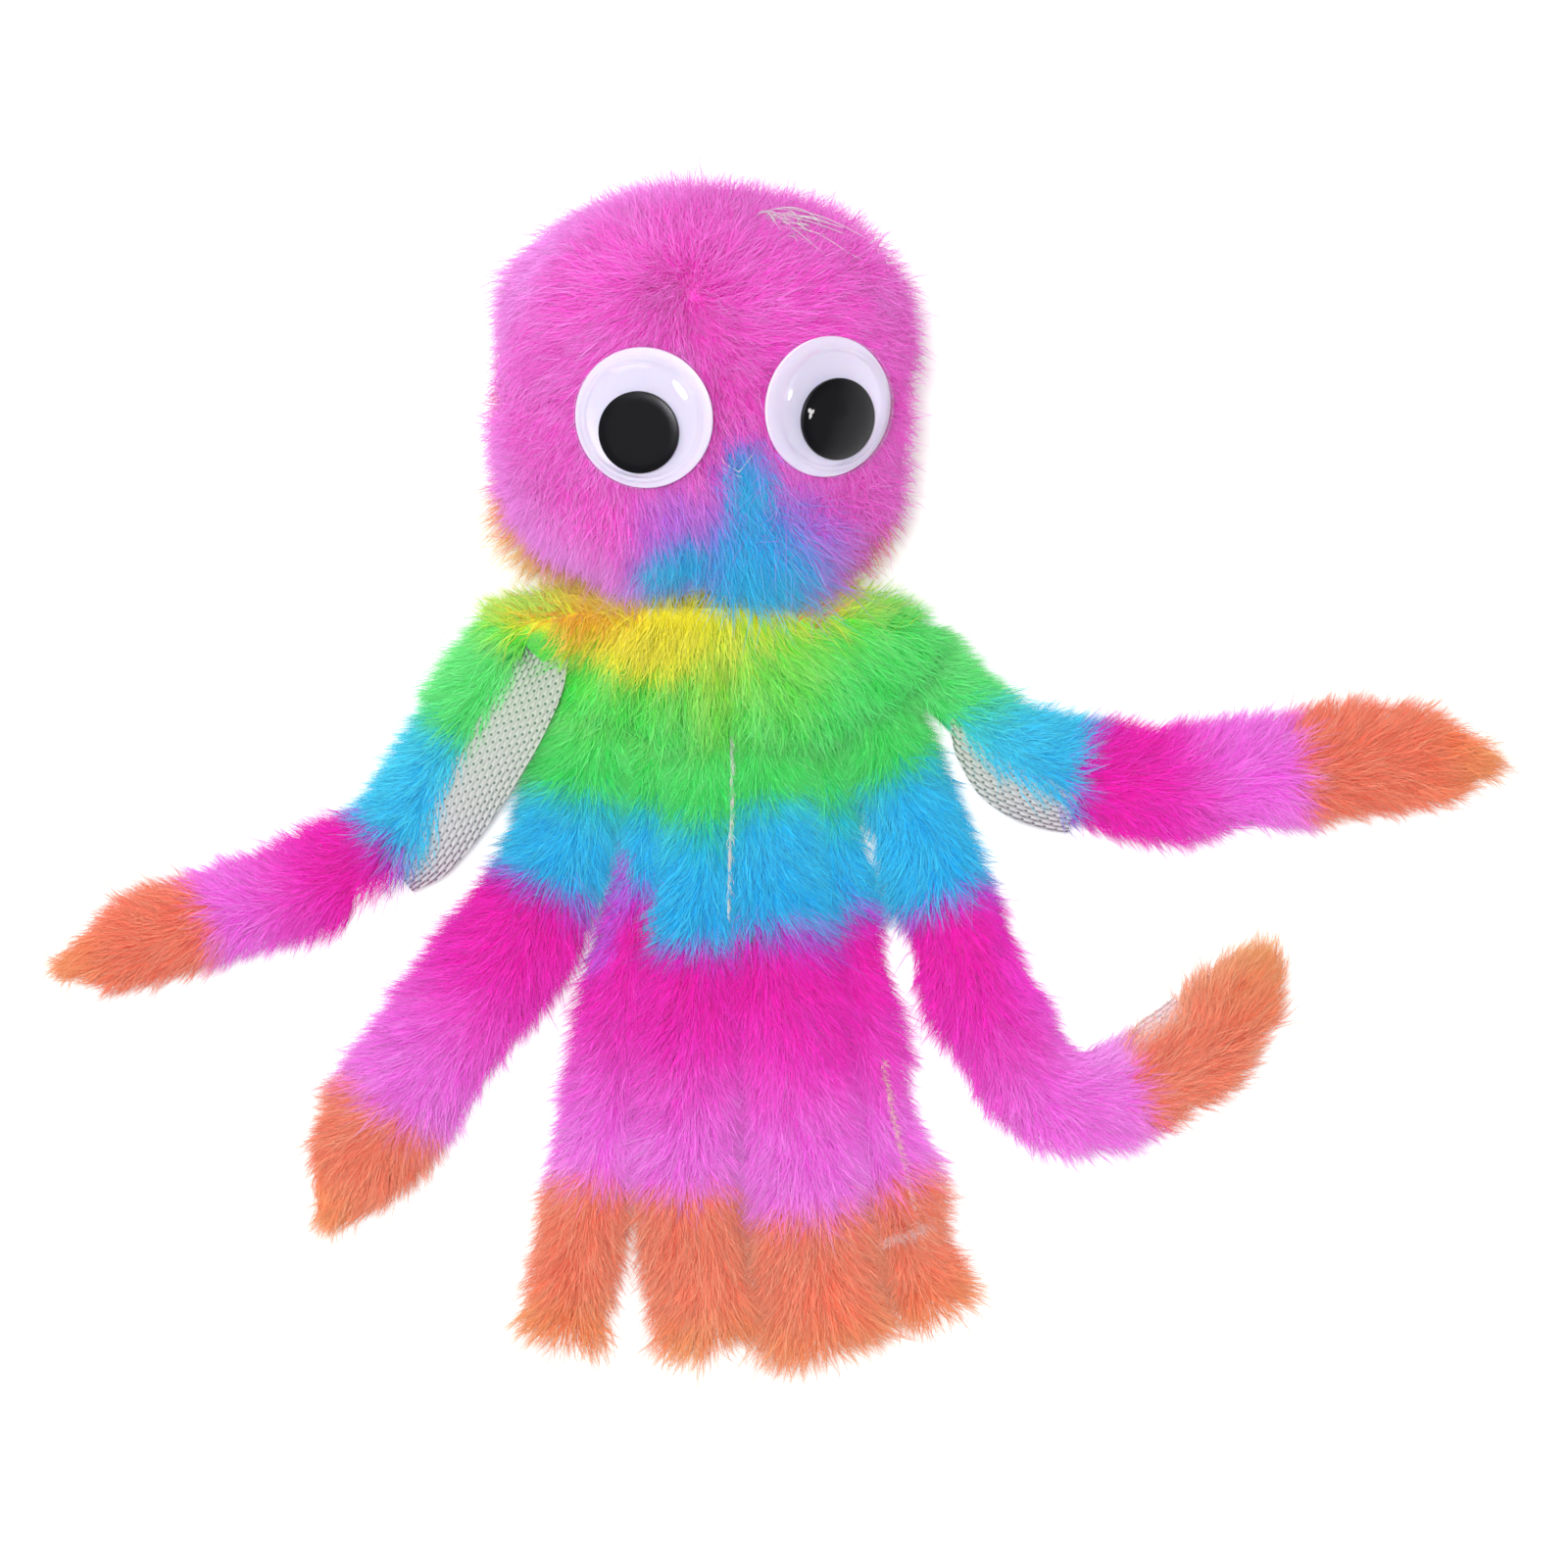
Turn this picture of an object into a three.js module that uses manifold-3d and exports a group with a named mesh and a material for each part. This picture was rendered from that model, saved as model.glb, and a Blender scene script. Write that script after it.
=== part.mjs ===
// A small plush octopus that lies on its back, face up. A ball of long-pile cloth over stuffing is tied
// at the neck, and below the tie the same cloth spreads as a skirt cut into eight strips, the legs.
// Two clear domed eyes with loose black pupils are glued to the face.
// Millimetres. X runs to the right, Y towards the crown and Z up from the table through the face.
// The origin is the middle of the flat patch on which the back of the head rests.
import * as THREE from 'three';
import { mergeVertices } from 'three/addons/utils/BufferGeometryUtils.js';
import Module from 'manifold-3d';

const wasm = await Module();
wasm.setup();

// Clearances
const seatGap = 0.35; // between two pieces that touch
const pressedFlat = 0.5; // how deep the table flattens a soft form
const overrun = 1; // how far a cutting form runs past what it cuts

// Head ball
const headWidth = 57;
const headLength = 53; // from the chin to the crown
const headDepth = 51; // from the back of the head to the face
const coverThickness = 5.5; // backing cloth and the dense foot of its pile
const headRoundnessShare = 0.83; // 1 is an ellipsoid, less is squarer

// Neck and its tie
const neckRadius = 8.5;
const neckHeight = 17; // of the neck's middle above the table
const neckReach = 3.6; // of the gathered neck beyond the chin
const neckClothThickness = 2;
const neckRoot = 8; // how far the gathers run up into the ball
const tieThickness = 0.9;
const tieTurnWidth = 0.75;
const tieTurns = 3;
const neckLipLength = 0.6; // gathered cloth left below the tie

// Skirt: the uncut part of the cloth below the neck
const skirtLength = 26;
const skirtHalfWidth = 38;
const skirtTopDrop = 0.5; // of its top below the neck's top, where the two meet
const skirtRimRise = 0.75; // of its rim above the widest leg root
const skirtLift = 3; // of its underside at the neck
const skirtRoundnessShare = 0.6;
const skirtStations = [
  { alongShare: 0, widthShare: 0.42, riseShare: 1, liftShare: 1 },
  { alongShare: 0.08, widthShare: 0.74, riseShare: 0.95, liftShare: 0.25 },
  { alongShare: 0.2, widthShare: 0.88, riseShare: 0.72, liftShare: 0 },
  { alongShare: 0.45, widthShare: 0.97, riseShare: 0.36, liftShare: 0 },
  { alongShare: 0.75, widthShare: 1, riseShare: 0.1, liftShare: 0 },
  { alongShare: 1, widthShare: 1, riseShare: 0, liftShare: 0 },
];
const shoulderLeftShare = 0.829; // of the skirt's half-width, beside the neck
const shoulderRightShare = 0.868;
const shoulderDrop = 2.6; // from the neck seam down to each shoulder's corner
const shoulderInset = 4.5; // of the shoulder's rounded corner

// Joint ranges in degrees
const neckRange = [0, 45];
const liftRange = [0, 70];
const swingRange = [-15, 15];
const crowdedSwingRange = [0, 15]; // of a leg with a neighbour close on its inner side
const bendRange = [0, 30];
const curlRange = [0, 80];

// Legs: strips of the cloth with the pile outside, curled in along their edges.
// A leg's width and its root's place across are shares of the skirt's half-width, its height is a
// share of the legs' height, and its root's place down is a share of the skirt's length. Its route
// runs on from the root in shares of the legs' reach, across and down. The two seams, where the dyed
// bands change, lie at shares of its own length. At the first seam it swings sideways, or bends up
// where its neighbours leave no room. The third and the sixth leg lie low, half under their neighbours.
const legReach = 90; // from the skirt to the farthest tip
const legHalfHeight = 4.5;
const legWidthShares = [
  [0, 0.7], [0.2, 0.79], [0.42, 0.96], [0.6, 1], [0.78, 0.98], [0.9, 0.88], [0.97, 0.68], [1, 0.45],
];
const legHeightShares = [
  [0, 0.93], [0.14, 0.96], [0.3, 1], [0.75, 0.98], [0.9, 0.86], [0.97, 0.62], [1, 0.4],
];
const ringStep = 6.5; // between the sections of a leg
const swingSeatShare = 0.5; // how far a swinging seam's pivot lies behind it, over its half-width
const seamLand = 1.2; // of full leg kept behind a seam's curve
const legs = [
  {
    widthShare: 0.221,
    heightShare: 1,
    rootShares: [-0.737, 0.233],
    routeShares: [[-0.111, 0.172], [-0.2, 0.322], [-0.349, 0.404], [-0.5, 0.453], [-0.73, 0.528]],
    seamShares: [0.385, 0.741],
    swings: true,
    firstRange: swingRange,
  },
  {
    widthShare: 0.326,
    heightShare: 1,
    rootShares: [-0.418, 0.637],
    routeShares: [
      [-0.022, 0.122], [-0.068, 0.261], [-0.173, 0.433],
      [-0.309, 0.609], [-0.434, 0.817],
    ],
    seamShares: [0.284, 0.758],
    swings: true,
    firstRange: swingRange,
  },
  {
    widthShare: 0.211,
    heightShare: 0.8,
    rootShares: [-0.189, 0.725],
    routeShares: [
      [-0.002, 0.108], [-0.016, 0.241], [-0.041, 0.408], [-0.063, 0.563],
      [-0.093, 0.719], [-0.124, 0.863], [-0.144, 0.986],
    ],
    seamShares: [0.256, 0.729],
    swings: true,
    firstRange: crowdedSwingRange,
  },
  {
    widthShare: 0.3,
    heightShare: 1,
    rootShares: [0.005, 0.752],
    routeShares: [
      [-0.001, 0.1], [-0.008, 0.244], [-0.017, 0.4], [-0.029, 0.556],
      [-0.033, 0.711], [-0.009, 0.856], [0.024, 0.994],
    ],
    seamShares: [0.311, 0.721],
    swings: false,
    firstRange: bendRange,
  },
  {
    widthShare: 0.353,
    heightShare: 1,
    rootShares: [0.253, 0.744],
    routeShares: [
      [0, 0.102], [0.006, 0.247], [0.018, 0.402], [0.037, 0.558],
      [0.06, 0.713], [0.079, 0.858], [0.093, 1.002],
    ],
    seamShares: [0.292, 0.744],
    swings: false,
    firstRange: bendRange,
  },
  {
    widthShare: 0.184,
    heightShare: 0.62,
    rootShares: [0.461, 0.698],
    routeShares: [
      [0.008, 0.116], [0.021, 0.26], [0.046, 0.416], [0.071, 0.571],
      [0.104, 0.727], [0.143, 0.86], [0.19, 0.96],
    ],
    seamShares: [0.293, 0.756],
    swings: true,
    firstRange: crowdedSwingRange,
  },
  {
    widthShare: 0.274,
    heightShare: 1,
    rootShares: [0.637, 0.552],
    routeShares: [
      [0.062, 0.147], [0.124, 0.313], [0.2, 0.513], [0.309, 0.642],
      [0.431, 0.631], [0.542, 0.569], [0.65, 0.433],
    ],
    seamShares: [0.275, 0.73],
    swings: true,
    firstRange: swingRange,
  },
  {
    widthShare: 0.279,
    heightShare: 1,
    rootShares: [0.805, 0.344],
    routeShares: [
      [0.116, 0.109], [0.253, 0.179], [0.416, 0.201],
      [0.593, 0.179], [0.771, 0.16], [0.927, 0.166],
    ],
    seamShares: [0.314, 0.672],
    swings: true,
    firstRange: swingRange,
  },
];

// Eyes: a flat back plate, a clear cap with a flange, and a loose disc between them
const eyeRadius = 10.15;
const plateThickness = 0.6;
const flangeThickness = 0.7;
const capWallThickness = 0.6;
const flangeWidth = 1.25;
const capWallHeight = 2.1; // from the flange to the edge of the roof
const capCrown = 1; // of the roof above its edge
const pupilRadius = 5.9;
const pupilThickness = 0.8;
const pupilEdge = 0.2; // rounding of the pupil's rim
const gluePadRadius = 5.5;
const gluePadThickness = 1.6;
const glueSink = 1.1; // of the glue into the pile
// Each eye's place is in shares of the head's half-width and half-length, and its angles in degrees:
// the turn to its side, the nod to the chin, and the way in which its pupil has slid.
const eyes = [
  { side: 'left', placeShares: [-0.27, -0.177], turn: -13, nod: 9, pupilBearing: -107 },
  { side: 'right', placeShares: [0.621, -0.113], turn: 28, nod: 8, pupilBearing: -54 },
];

// Facet counts
const ballSides = 26;
const ballRings = 15;
const stuffingSides = 18;
const stuffingRings = 10;
const neckSides = 24;
const eyeSides = 36;
const roofSteps = 5;
const flankSteps = 3; // of a leg's section, from its side to its flat underside
const skirtSteps = 9; // of the skirt's section, from its side to its middle

// Worked out from the sizes above
const headMiddle = headDepth / 2 - pressedFlat; // above the table
const neckSeam = -(headLength / 2 + neckReach);
const neckHinge = neckHeight + neckRadius; // above the table
const waistRadius = neckRadius - tieThickness - seatGap;
const tieWidth = tieTurns * tieTurnWidth;
const skirtStart = neckSeam - seatGap;
const skirtTop = neckHinge - skirtTopDrop;
const skirtRim = 2 * legHalfHeight * legHeightShares[0][1] - pressedFlat + skirtRimRise;
const capRadius = eyeRadius - flangeWidth;
const cavityRadius = capRadius - capWallThickness;
const pupilOffset = cavityRadius - pupilRadius - seatGap;
const eyeStandOff = gluePadThickness + seatGap - glueSink;

const colours = {
  head: 0xe83fe0,
  stuffing: 0xf4f2ec,
  thread: 0xf2ecf0,
  skirt: 0x4fe04a,
  upper: 0x2fb0ea,
  middle: 0xe42bd0,
  tip: 0xf46a42,
  plate: 0xe6dcf2,
  cap: 0xf6f6ff,
  pupil: 0x0a0a0c,
  glue: 0xeceae0,
};

function material(colour, roughness) {
  return new THREE.MeshStandardMaterial({ color: colour, roughness, metalness: 0 });
}

function named(name, geometry, colour, roughness) {
  const mesh = new THREE.Mesh(geometry, material(colour, roughness));
  mesh.name = name;
  return mesh;
}

// A closed geometry as a solid that can be joined and cut.
function solid(geometry) {
  const bare = geometry.clone();
  bare.deleteAttribute('normal');
  bare.deleteAttribute('uv');
  const merged = mergeVertices(bare);
  return new wasm.Manifold(
    new wasm.Mesh({
      numProp: 3,
      vertProperties: merged.getAttribute('position').array,
      triVerts: new Uint32Array(merged.index.array),
    }),
  );
}

function geometryOf(shape) {
  const mesh = shape.getMesh();
  const geometry = new THREE.BufferGeometry();
  geometry.setAttribute('position', new THREE.BufferAttribute(mesh.vertProperties, 3));
  geometry.setIndex(new THREE.BufferAttribute(mesh.triVerts, 1));
  return geometry;
}

function aboveTable(shape) {
  const span = headWidth + headLength + headDepth;
  const slab = new THREE.BoxGeometry(span, span, span);
  slab.translate(0, 0, -span / 2);
  return shape.subtract(solid(slab));
}

// A value read off pairs of [share of the length, share], smoothly.
function shareAt(pairs, along) {
  const next = Math.max(1, pairs.findIndex(([at]) => at >= along));
  const [atA, a] = pairs[next - 1];
  const [atB, b] = pairs[next];
  return THREE.MathUtils.lerp(a, b, THREE.MathUtils.smoothstep(along, atA, atB));
}

// Head

// A ball a little squarer than an ellipsoid, about the head's middle.
function squareBall(width, length, depth, sides, rings) {
  const ball = new THREE.SphereGeometry(1, sides, rings);
  const place = ball.getAttribute('position');
  const squared = (v) => Math.sign(v) * Math.abs(v) ** headRoundnessShare;
  for (let i = 0; i < place.count; i += 1) {
    place.setX(i, (width / 2) * squared(place.getX(i)));
    place.setY(i, (length / 2) * squared(place.getY(i)));
    place.setZ(i, (depth / 2) * squared(place.getZ(i)));
  }
  return ball.translate(0, 0, headMiddle);
}

// A turned form about the neck's axis, from points of [radius, distance past the neck seam].
function aboutNeck(points) {
  const profile = points.map(([radius, past]) => new THREE.Vector2(radius, past));
  const form = new THREE.LatheGeometry(profile, neckSides);
  return form.translate(0, neckSeam, neckHeight);
}

function neckForm() {
  const waistEnd = neckLipLength + tieWidth + 2 * seatGap;
  return aboutNeck([
    [0, 0],
    [neckRadius, 0],
    [neckRadius, neckLipLength],
    [waistRadius, neckLipLength],
    [waistRadius, waistEnd],
    [neckRadius, waistEnd],
    [neckRadius + neckClothThickness, neckReach + neckRoot],
    [0, neckReach + neckRoot],
  ]);
}

function neckBore() {
  const boreRadius = waistRadius - neckClothThickness;
  return aboutNeck([
    [0, -overrun],
    [boreRadius, -overrun],
    [boreRadius, neckReach + neckRoot],
    [0, neckReach + neckRoot],
  ]);
}

function hollowOfCover() {
  const inset = 2 * coverThickness;
  const sizes = [headWidth - inset, headLength - inset, headDepth - inset];
  return solid(squareBall(...sizes, stuffingSides, stuffingRings));
}

function headCover() {
  const ball = aboveTable(solid(squareBall(headWidth, headLength, headDepth, ballSides, ballRings)));
  let cover = ball.add(solid(neckForm())).subtract(hollowOfCover()).subtract(solid(neckBore()));
  for (const eye of eyes) {
    const pocket = discAt(eye, gluePadRadius + seatGap, gluePadThickness + 2 * seatGap, -seatGap);
    cover = cover.subtract(solid(pocket));
  }
  return named('head_cover', geometryOf(cover), colours.head, 0.95);
}

function headStuffing() {
  const inset = 2 * (coverThickness + seatGap);
  const sizes = [headWidth - inset, headLength - inset, headDepth - inset];
  return named('head_stuffing', squareBall(...sizes, stuffingSides, stuffingRings), colours.stuffing, 1);
}

// Thread drawn tight round the gathers, its turns pulled into one ridged band.
function neckTie() {
  const inner = waistRadius + seatGap;
  const ridge = inner + tieThickness;
  const valley = inner + tieThickness / 2;
  const tieStart = neckLipLength + seatGap;
  const points = [];
  for (let turn = 0; turn < tieTurns; turn += 1) {
    const start = tieStart + turn * tieTurnWidth;
    points.push([valley, start], [ridge, start + tieTurnWidth / 2]);
  }
  points.push([valley, tieStart + tieWidth], [inner, tieStart + tieWidth]);
  points.push([inner, tieStart], [valley, tieStart]);
  return named('neck_tie', aboutNeck(points), colours.thread, 0.7);
}

// Soft forms made of sections. A section is a row of columns from its left side to its right side,
// each with a top and a bottom point, which meet in the first and the last column.

function loft(sections) {
  const points = [];
  const triangles = [];
  const last = sections[0].length - 1;
  const around = 2 * last;
  const indexOf = (section, step) => section * around + ((step + around) % around);
  for (const columns of sections) {
    columns.forEach((column) => points.push(column.top));
    columns.slice(1, last).reverse().forEach((column) => points.push(column.bottom));
  }
  for (let s = 0; s < sections.length - 1; s += 1) {
    for (let k = 0; k < around; k += 1) {
      const corner = indexOf(s, k);
      const across = indexOf(s + 1, k + 1);
      triangles.push(corner, across, indexOf(s, k + 1), corner, indexOf(s + 1, k), across);
    }
  }
  const cap = (section, turned) => {
    for (let k = 0; k < last; k += 1) {
      const [a, b] = [indexOf(section, k), indexOf(section, k + 1)];
      const [c, d] = [indexOf(section, -k - 1), indexOf(section, -k)];
      const faces = [[a, c, b], [a, d, c]].filter((face) => new Set(face).size === 3);
      faces.forEach((face) => triangles.push(...(turned ? face.reverse() : face)));
    }
  };
  cap(0, true);
  cap(sections.length - 1, false);
  const geometry = new THREE.BufferGeometry();
  geometry.setFromPoints(points);
  geometry.setIndex(triangles);
  return geometry;
}

// Skirt

function skirtSection(station) {
  const halfWidth = skirtHalfWidth * station.widthShare;
  const top = THREE.MathUtils.lerp(skirtRim, skirtTop, station.riseShare);
  const bottom = THREE.MathUtils.lerp(-pressedFlat, skirtLift, station.liftShare);
  const y = skirtStart - skirtLength * station.alongShare;
  const columns = [];
  for (let step = 0; step <= 2 * skirtSteps; step += 1) {
    const angle = (Math.PI * step) / (2 * skirtSteps);
    const x = -halfWidth * Math.cos(angle);
    const half = ((top - bottom) / 2) * Math.max(0, Math.sin(angle)) ** skirtRoundnessShare;
    const middle = (top + bottom) / 2;
    const edge = step === 0 || step === 2 * skirtSteps;
    columns.push({
      top: new THREE.Vector3(x, y, edge ? middle : middle + half),
      bottom: new THREE.Vector3(x, y, edge ? middle : middle - half),
    });
  }
  return columns;
}

// Each leg meets the skirt at a straight facet as wide as the leg's root.
function rootCorners(leg) {
  const { place, along, across } = leg.frameAt(0);
  const middle = place.clone().addScaledVector(along, -seatGap / 2);
  const half = leg.halfWidthAt(0);
  return [-1, 1].map((side) => middle.clone().addScaledVector(across, side * half));
}

function skirtOutline() {
  const left = -skirtHalfWidth * shoulderLeftShare;
  const right = skirtHalfWidth * shoulderRightShare;
  const outline = [
    new THREE.Vector2(right - shoulderInset, skirtStart),
    new THREE.Vector2(left + shoulderInset, skirtStart),
    new THREE.Vector2(left, skirtStart - shoulderDrop),
  ];
  for (const leg of strips) {
    const corners = rootCorners(leg);
    outline.push(...corners.map((corner) => new THREE.Vector2(corner.x, corner.y)));
  }
  outline.push(new THREE.Vector2(right, skirtStart - shoulderDrop));
  return new THREE.Shape(outline);
}

function legSkirt() {
  const bell = aboveTable(solid(loft(skirtStations.map(skirtSection))));
  const outline = new THREE.ExtrudeGeometry(skirtOutline(), {
    depth: skirtTop + 2 * overrun,
    bevelEnabled: false,
  });
  outline.translate(0, 0, -overrun);
  return named('leg_skirt', geometryOf(bell.intersect(solid(outline))), colours.skirt, 0.95);
}

// Legs

// The points of a leg's route on the table, from its root to its tip.
function routeOf(leg) {
  const [rootAcross, rootDown] = leg.rootShares;
  const root = new THREE.Vector3(
    skirtHalfWidth * rootAcross,
    skirtStart - skirtLength * rootDown,
    0,
  );
  const beyond = leg.routeShares.map(([across, down]) => new THREE.Vector3(
    root.x + legReach * across,
    root.y - legReach * down,
    0,
  ));
  return [root, ...beyond];
}

// A leg as a curve on the table with its sizes along it.
function strip(leg, index) {
  const curve = new THREE.CatmullRomCurve3(routeOf(leg), false, 'centripetal');
  const length = curve.getLength();
  const halfWidth = (skirtHalfWidth * leg.widthShare) / 2;
  const halfHeight = legHalfHeight * leg.heightShare;
  const frameAt = (distance) => {
    const share = THREE.MathUtils.clamp(distance / length, 0, 1);
    const along = curve.getTangentAt(share);
    const across = new THREE.Vector3(-along.y, along.x, 0);
    return { place: curve.getPointAt(share), along, across };
  };
  return {
    name: `leg_${index + 1}`,
    length,
    seams: leg.seamShares.map((share) => length * share),
    swings: leg.swings,
    firstRange: leg.firstRange,
    frameAt,
    halfWidthAt: (distance) => halfWidth * shareAt(legWidthShares, distance / length),
    halfHeightAt: (distance) => halfHeight * shareAt(legHeightShares, distance / length),
  };
}

const strips = legs.map(strip);

// The columns of a leg's section: an oval with a flat underside, whose corners are columns too.
// reach moves each column along the leg, by its distance from the middle line.
function legSection(leg, distance, frame, reach) {
  const halfWidth = leg.halfWidthAt(distance);
  const halfHeight = leg.halfHeightAt(distance);
  const middle = halfHeight - pressedFlat;
  const flatAngle = Math.asin(middle / halfHeight);
  const flank = [];
  for (let step = 0; step <= flankSteps; step += 1) flank.push((flatAngle * step) / flankSteps);
  const angles = [...flank, Math.PI / 2, ...flank.map((angle) => Math.PI - angle).reverse()];
  return angles.map((angle) => {
    const side = -halfWidth * Math.cos(angle);
    const half = halfHeight * Math.sin(angle);
    const foot = frame.place.clone().addScaledVector(frame.across, side);
    foot.addScaledVector(frame.along, reach(side));
    const edge = angle === 0 || angle === Math.PI;
    return {
      top: foot.clone().setZ(edge ? middle : middle + half),
      bottom: foot.clone().setZ(edge ? middle : Math.max(0, middle - half)),
    };
  });
}

const straight = () => 0;

// The pivot and radius of a seam that swings: an arc struck from a point inside the outer stretch.
function swingSeam(leg, distance) {
  const halfWidth = leg.halfWidthAt(distance);
  const behind = halfWidth * swingSeatShare;
  return { pivot: distance + behind, behind, radius: Math.hypot(halfWidth, behind) };
}

// One stretch of a leg between two seams. A seam is a distance along the leg and whether it swings.
function legStretch(leg, name, start, end, colour) {
  const sections = [];
  let first = start.at + seatGap / 2;
  let last = end.at - seatGap / 2;
  if (start.swings) {
    const seam = swingSeam(leg, start.at);
    const radius = seam.radius - seatGap / 2;
    const frame = leg.frameAt(seam.pivot);
    sections.push(legSection(leg, start.at, frame, (side) => -Math.sqrt(radius ** 2 - side ** 2)));
    first = start.at + seamLand;
  }
  const tail = [];
  if (end.swings) {
    const seam = swingSeam(leg, end.at);
    const radius = seam.radius + seatGap / 2;
    const frame = leg.frameAt(seam.pivot);
    tail.push(legSection(leg, end.at, frame, (side) => -Math.sqrt(radius ** 2 - side ** 2)));
    last = seam.pivot - radius - seamLand;
  }
  const steps = Math.max(2, Math.round((last - first) / ringStep));
  for (let step = 0; step <= steps; step += 1) {
    const distance = THREE.MathUtils.lerp(first, last, step / steps);
    sections.push(legSection(leg, distance, leg.frameAt(distance), straight));
  }
  sections.push(...tail);
  return named(name, loft(sections), colour, 0.95);
}

function legStretches(leg) {
  const [firstSeam, secondSeam] = leg.seams;
  const root = { at: 0, swings: false };
  const first = { at: firstSeam, swings: leg.swings };
  const second = { at: secondSeam, swings: false };
  const end = { at: leg.length + seatGap / 2, swings: false };
  return [
    legStretch(leg, `${leg.name}_upper`, root, first, colours.upper),
    legStretch(leg, `${leg.name}_middle`, first, second, colours.middle),
    legStretch(leg, `${leg.name}_tip`, second, end, colours.tip),
  ];
}

// Eyes

function headSurface(x, y) {
  const power = 2 / headRoundnessShare;
  const left = 1 - Math.abs((2 * x) / headWidth) ** power - Math.abs((2 * y) / headLength) ** power;
  return headMiddle + (headDepth / 2) * left ** (1 / power);
}

// Where an eye sits: its back on the middle of the glue, facing the way that it was pressed on.
function eyeFrame(eye) {
  const turned = new THREE.Euler(
    THREE.MathUtils.degToRad(eye.nod),
    THREE.MathUtils.degToRad(eye.turn),
    0,
    'YXZ',
  );
  const facing = new THREE.Quaternion().setFromEuler(turned);
  const normal = new THREE.Vector3(0, 0, 1).applyQuaternion(facing);
  const x = (headWidth / 2) * eye.placeShares[0];
  const y = (headLength / 2) * eye.placeShares[1];
  const place = new THREE.Vector3(x, y, headSurface(x, y));
  return { place: place.addScaledVector(normal, eyeStandOff), facing, normal };
}

// A form turned about an eye's own axis, from points of [radius, height above the eye's back].
function turnedForm(points, sides) {
  const profile = points.map(([radius, height]) => new THREE.Vector2(radius, height));
  return new THREE.LatheGeometry(profile, sides).rotateX(Math.PI / 2);
}

// A disc behind an eye, in the head's frame, its outer face past the eye's back by the given height.
function discAt(eye, radius, thickness, below) {
  const { place, facing } = eyeFrame(eye);
  const top = -seatGap - below;
  const bottom = top - thickness;
  const disc = turnedForm([[0, bottom], [radius, bottom], [radius, top], [0, top]], eyeSides);
  return disc.applyQuaternion(facing).translate(place.x, place.y, place.z);
}

function inEye(eye, mesh) {
  const { place, facing } = eyeFrame(eye);
  const seat = new THREE.Group();
  seat.position.copy(place);
  seat.quaternion.copy(facing);
  seat.add(mesh);
  return seat;
}

function gluePad(eye) {
  const pad = discAt(eye, gluePadRadius, gluePadThickness, 0);
  return named(`${eye.side}_glue_pad`, pad, colours.glue, 0.3);
}

function eyePlate(eye) {
  const plate = turnedForm(
    [[0, 0], [eyeRadius, 0], [eyeRadius, plateThickness], [0, plateThickness]],
    eyeSides,
  );
  return inEye(eye, named(`${eye.side}_eye_back`, plate, colours.plate, 0.35));
}

// Points of the cap's roof from its edge to its middle, crowned as part of a sphere.
function roofPoints(edgeRadius, edgeHeight) {
  const bend = (edgeRadius ** 2 + capCrown ** 2) / (2 * capCrown);
  const sweep = Math.asin(edgeRadius / bend);
  const points = [];
  for (let step = 0; step < roofSteps; step += 1) {
    const angle = sweep * (1 - step / roofSteps);
    const drop = bend * (1 - Math.cos(angle));
    points.push([bend * Math.sin(angle), edgeHeight + capCrown - drop]);
  }
  points.push([0, edgeHeight + capCrown]);
  return points;
}

function eyeCap(eye) {
  const base = plateThickness + seatGap;
  const flangeTop = base + flangeThickness;
  const roofEdge = flangeTop + capWallHeight;
  const outside = [
    [cavityRadius, base],
    [eyeRadius, base],
    [eyeRadius, flangeTop],
    [capRadius, flangeTop],
    ...roofPoints(capRadius - capWallThickness / 2, roofEdge),
  ];
  const inside = roofPoints(cavityRadius, roofEdge - capWallThickness).reverse();
  const cap = turnedForm([...outside, ...inside, [cavityRadius, base]], eyeSides);
  return inEye(eye, named(`${eye.side}_eye_cap`, cap, colours.cap, 0.05));
}

function pupil(eye) {
  const base = plateThickness + seatGap;
  const top = base + pupilThickness;
  const disc = turnedForm(
    [
      [0, base],
      [pupilRadius - pupilEdge, base],
      [pupilRadius, base + pupilEdge],
      [pupilRadius, top - pupilEdge],
      [pupilRadius - pupilEdge, top],
      [0, top],
    ],
    eyeSides,
  );
  const bearing = THREE.MathUtils.degToRad(eye.pupilBearing);
  disc.translate(pupilOffset * Math.cos(bearing), pupilOffset * Math.sin(bearing), 0);
  return inEye(eye, named(`${eye.side}_pupil`, disc, colours.pupil, 0.12));
}

// Joints: each turns its child about an axis through a point, both at rest, by degrees from rest.

function hinge(name, parent, child, point, axis, range) {
  return { name, parent, child, point: point.toArray(), axis: axis.toArray(), range };
}

// A hinge across a leg at the top of a seam, so that the stretch beyond it rises.
function risingHinge(leg, name, parent, child, distance, range) {
  const frame = leg.frameAt(distance);
  const point = frame.place.clone().setZ(2 * leg.halfHeightAt(distance) - pressedFlat);
  return hinge(name, parent, child, point, frame.across.negate(), range);
}

// A hinge square to the table, so that the stretch beyond it swings away from the other legs.
function swingingHinge(leg, name, parent, child, distance, range) {
  const point = leg.frameAt(swingSeam(leg, distance).pivot).place;
  const outward = new THREE.Vector3(0, 0, strips.indexOf(leg) < strips.length / 2 ? -1 : 1);
  return hinge(name, parent, child, point, outward, range);
}

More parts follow.
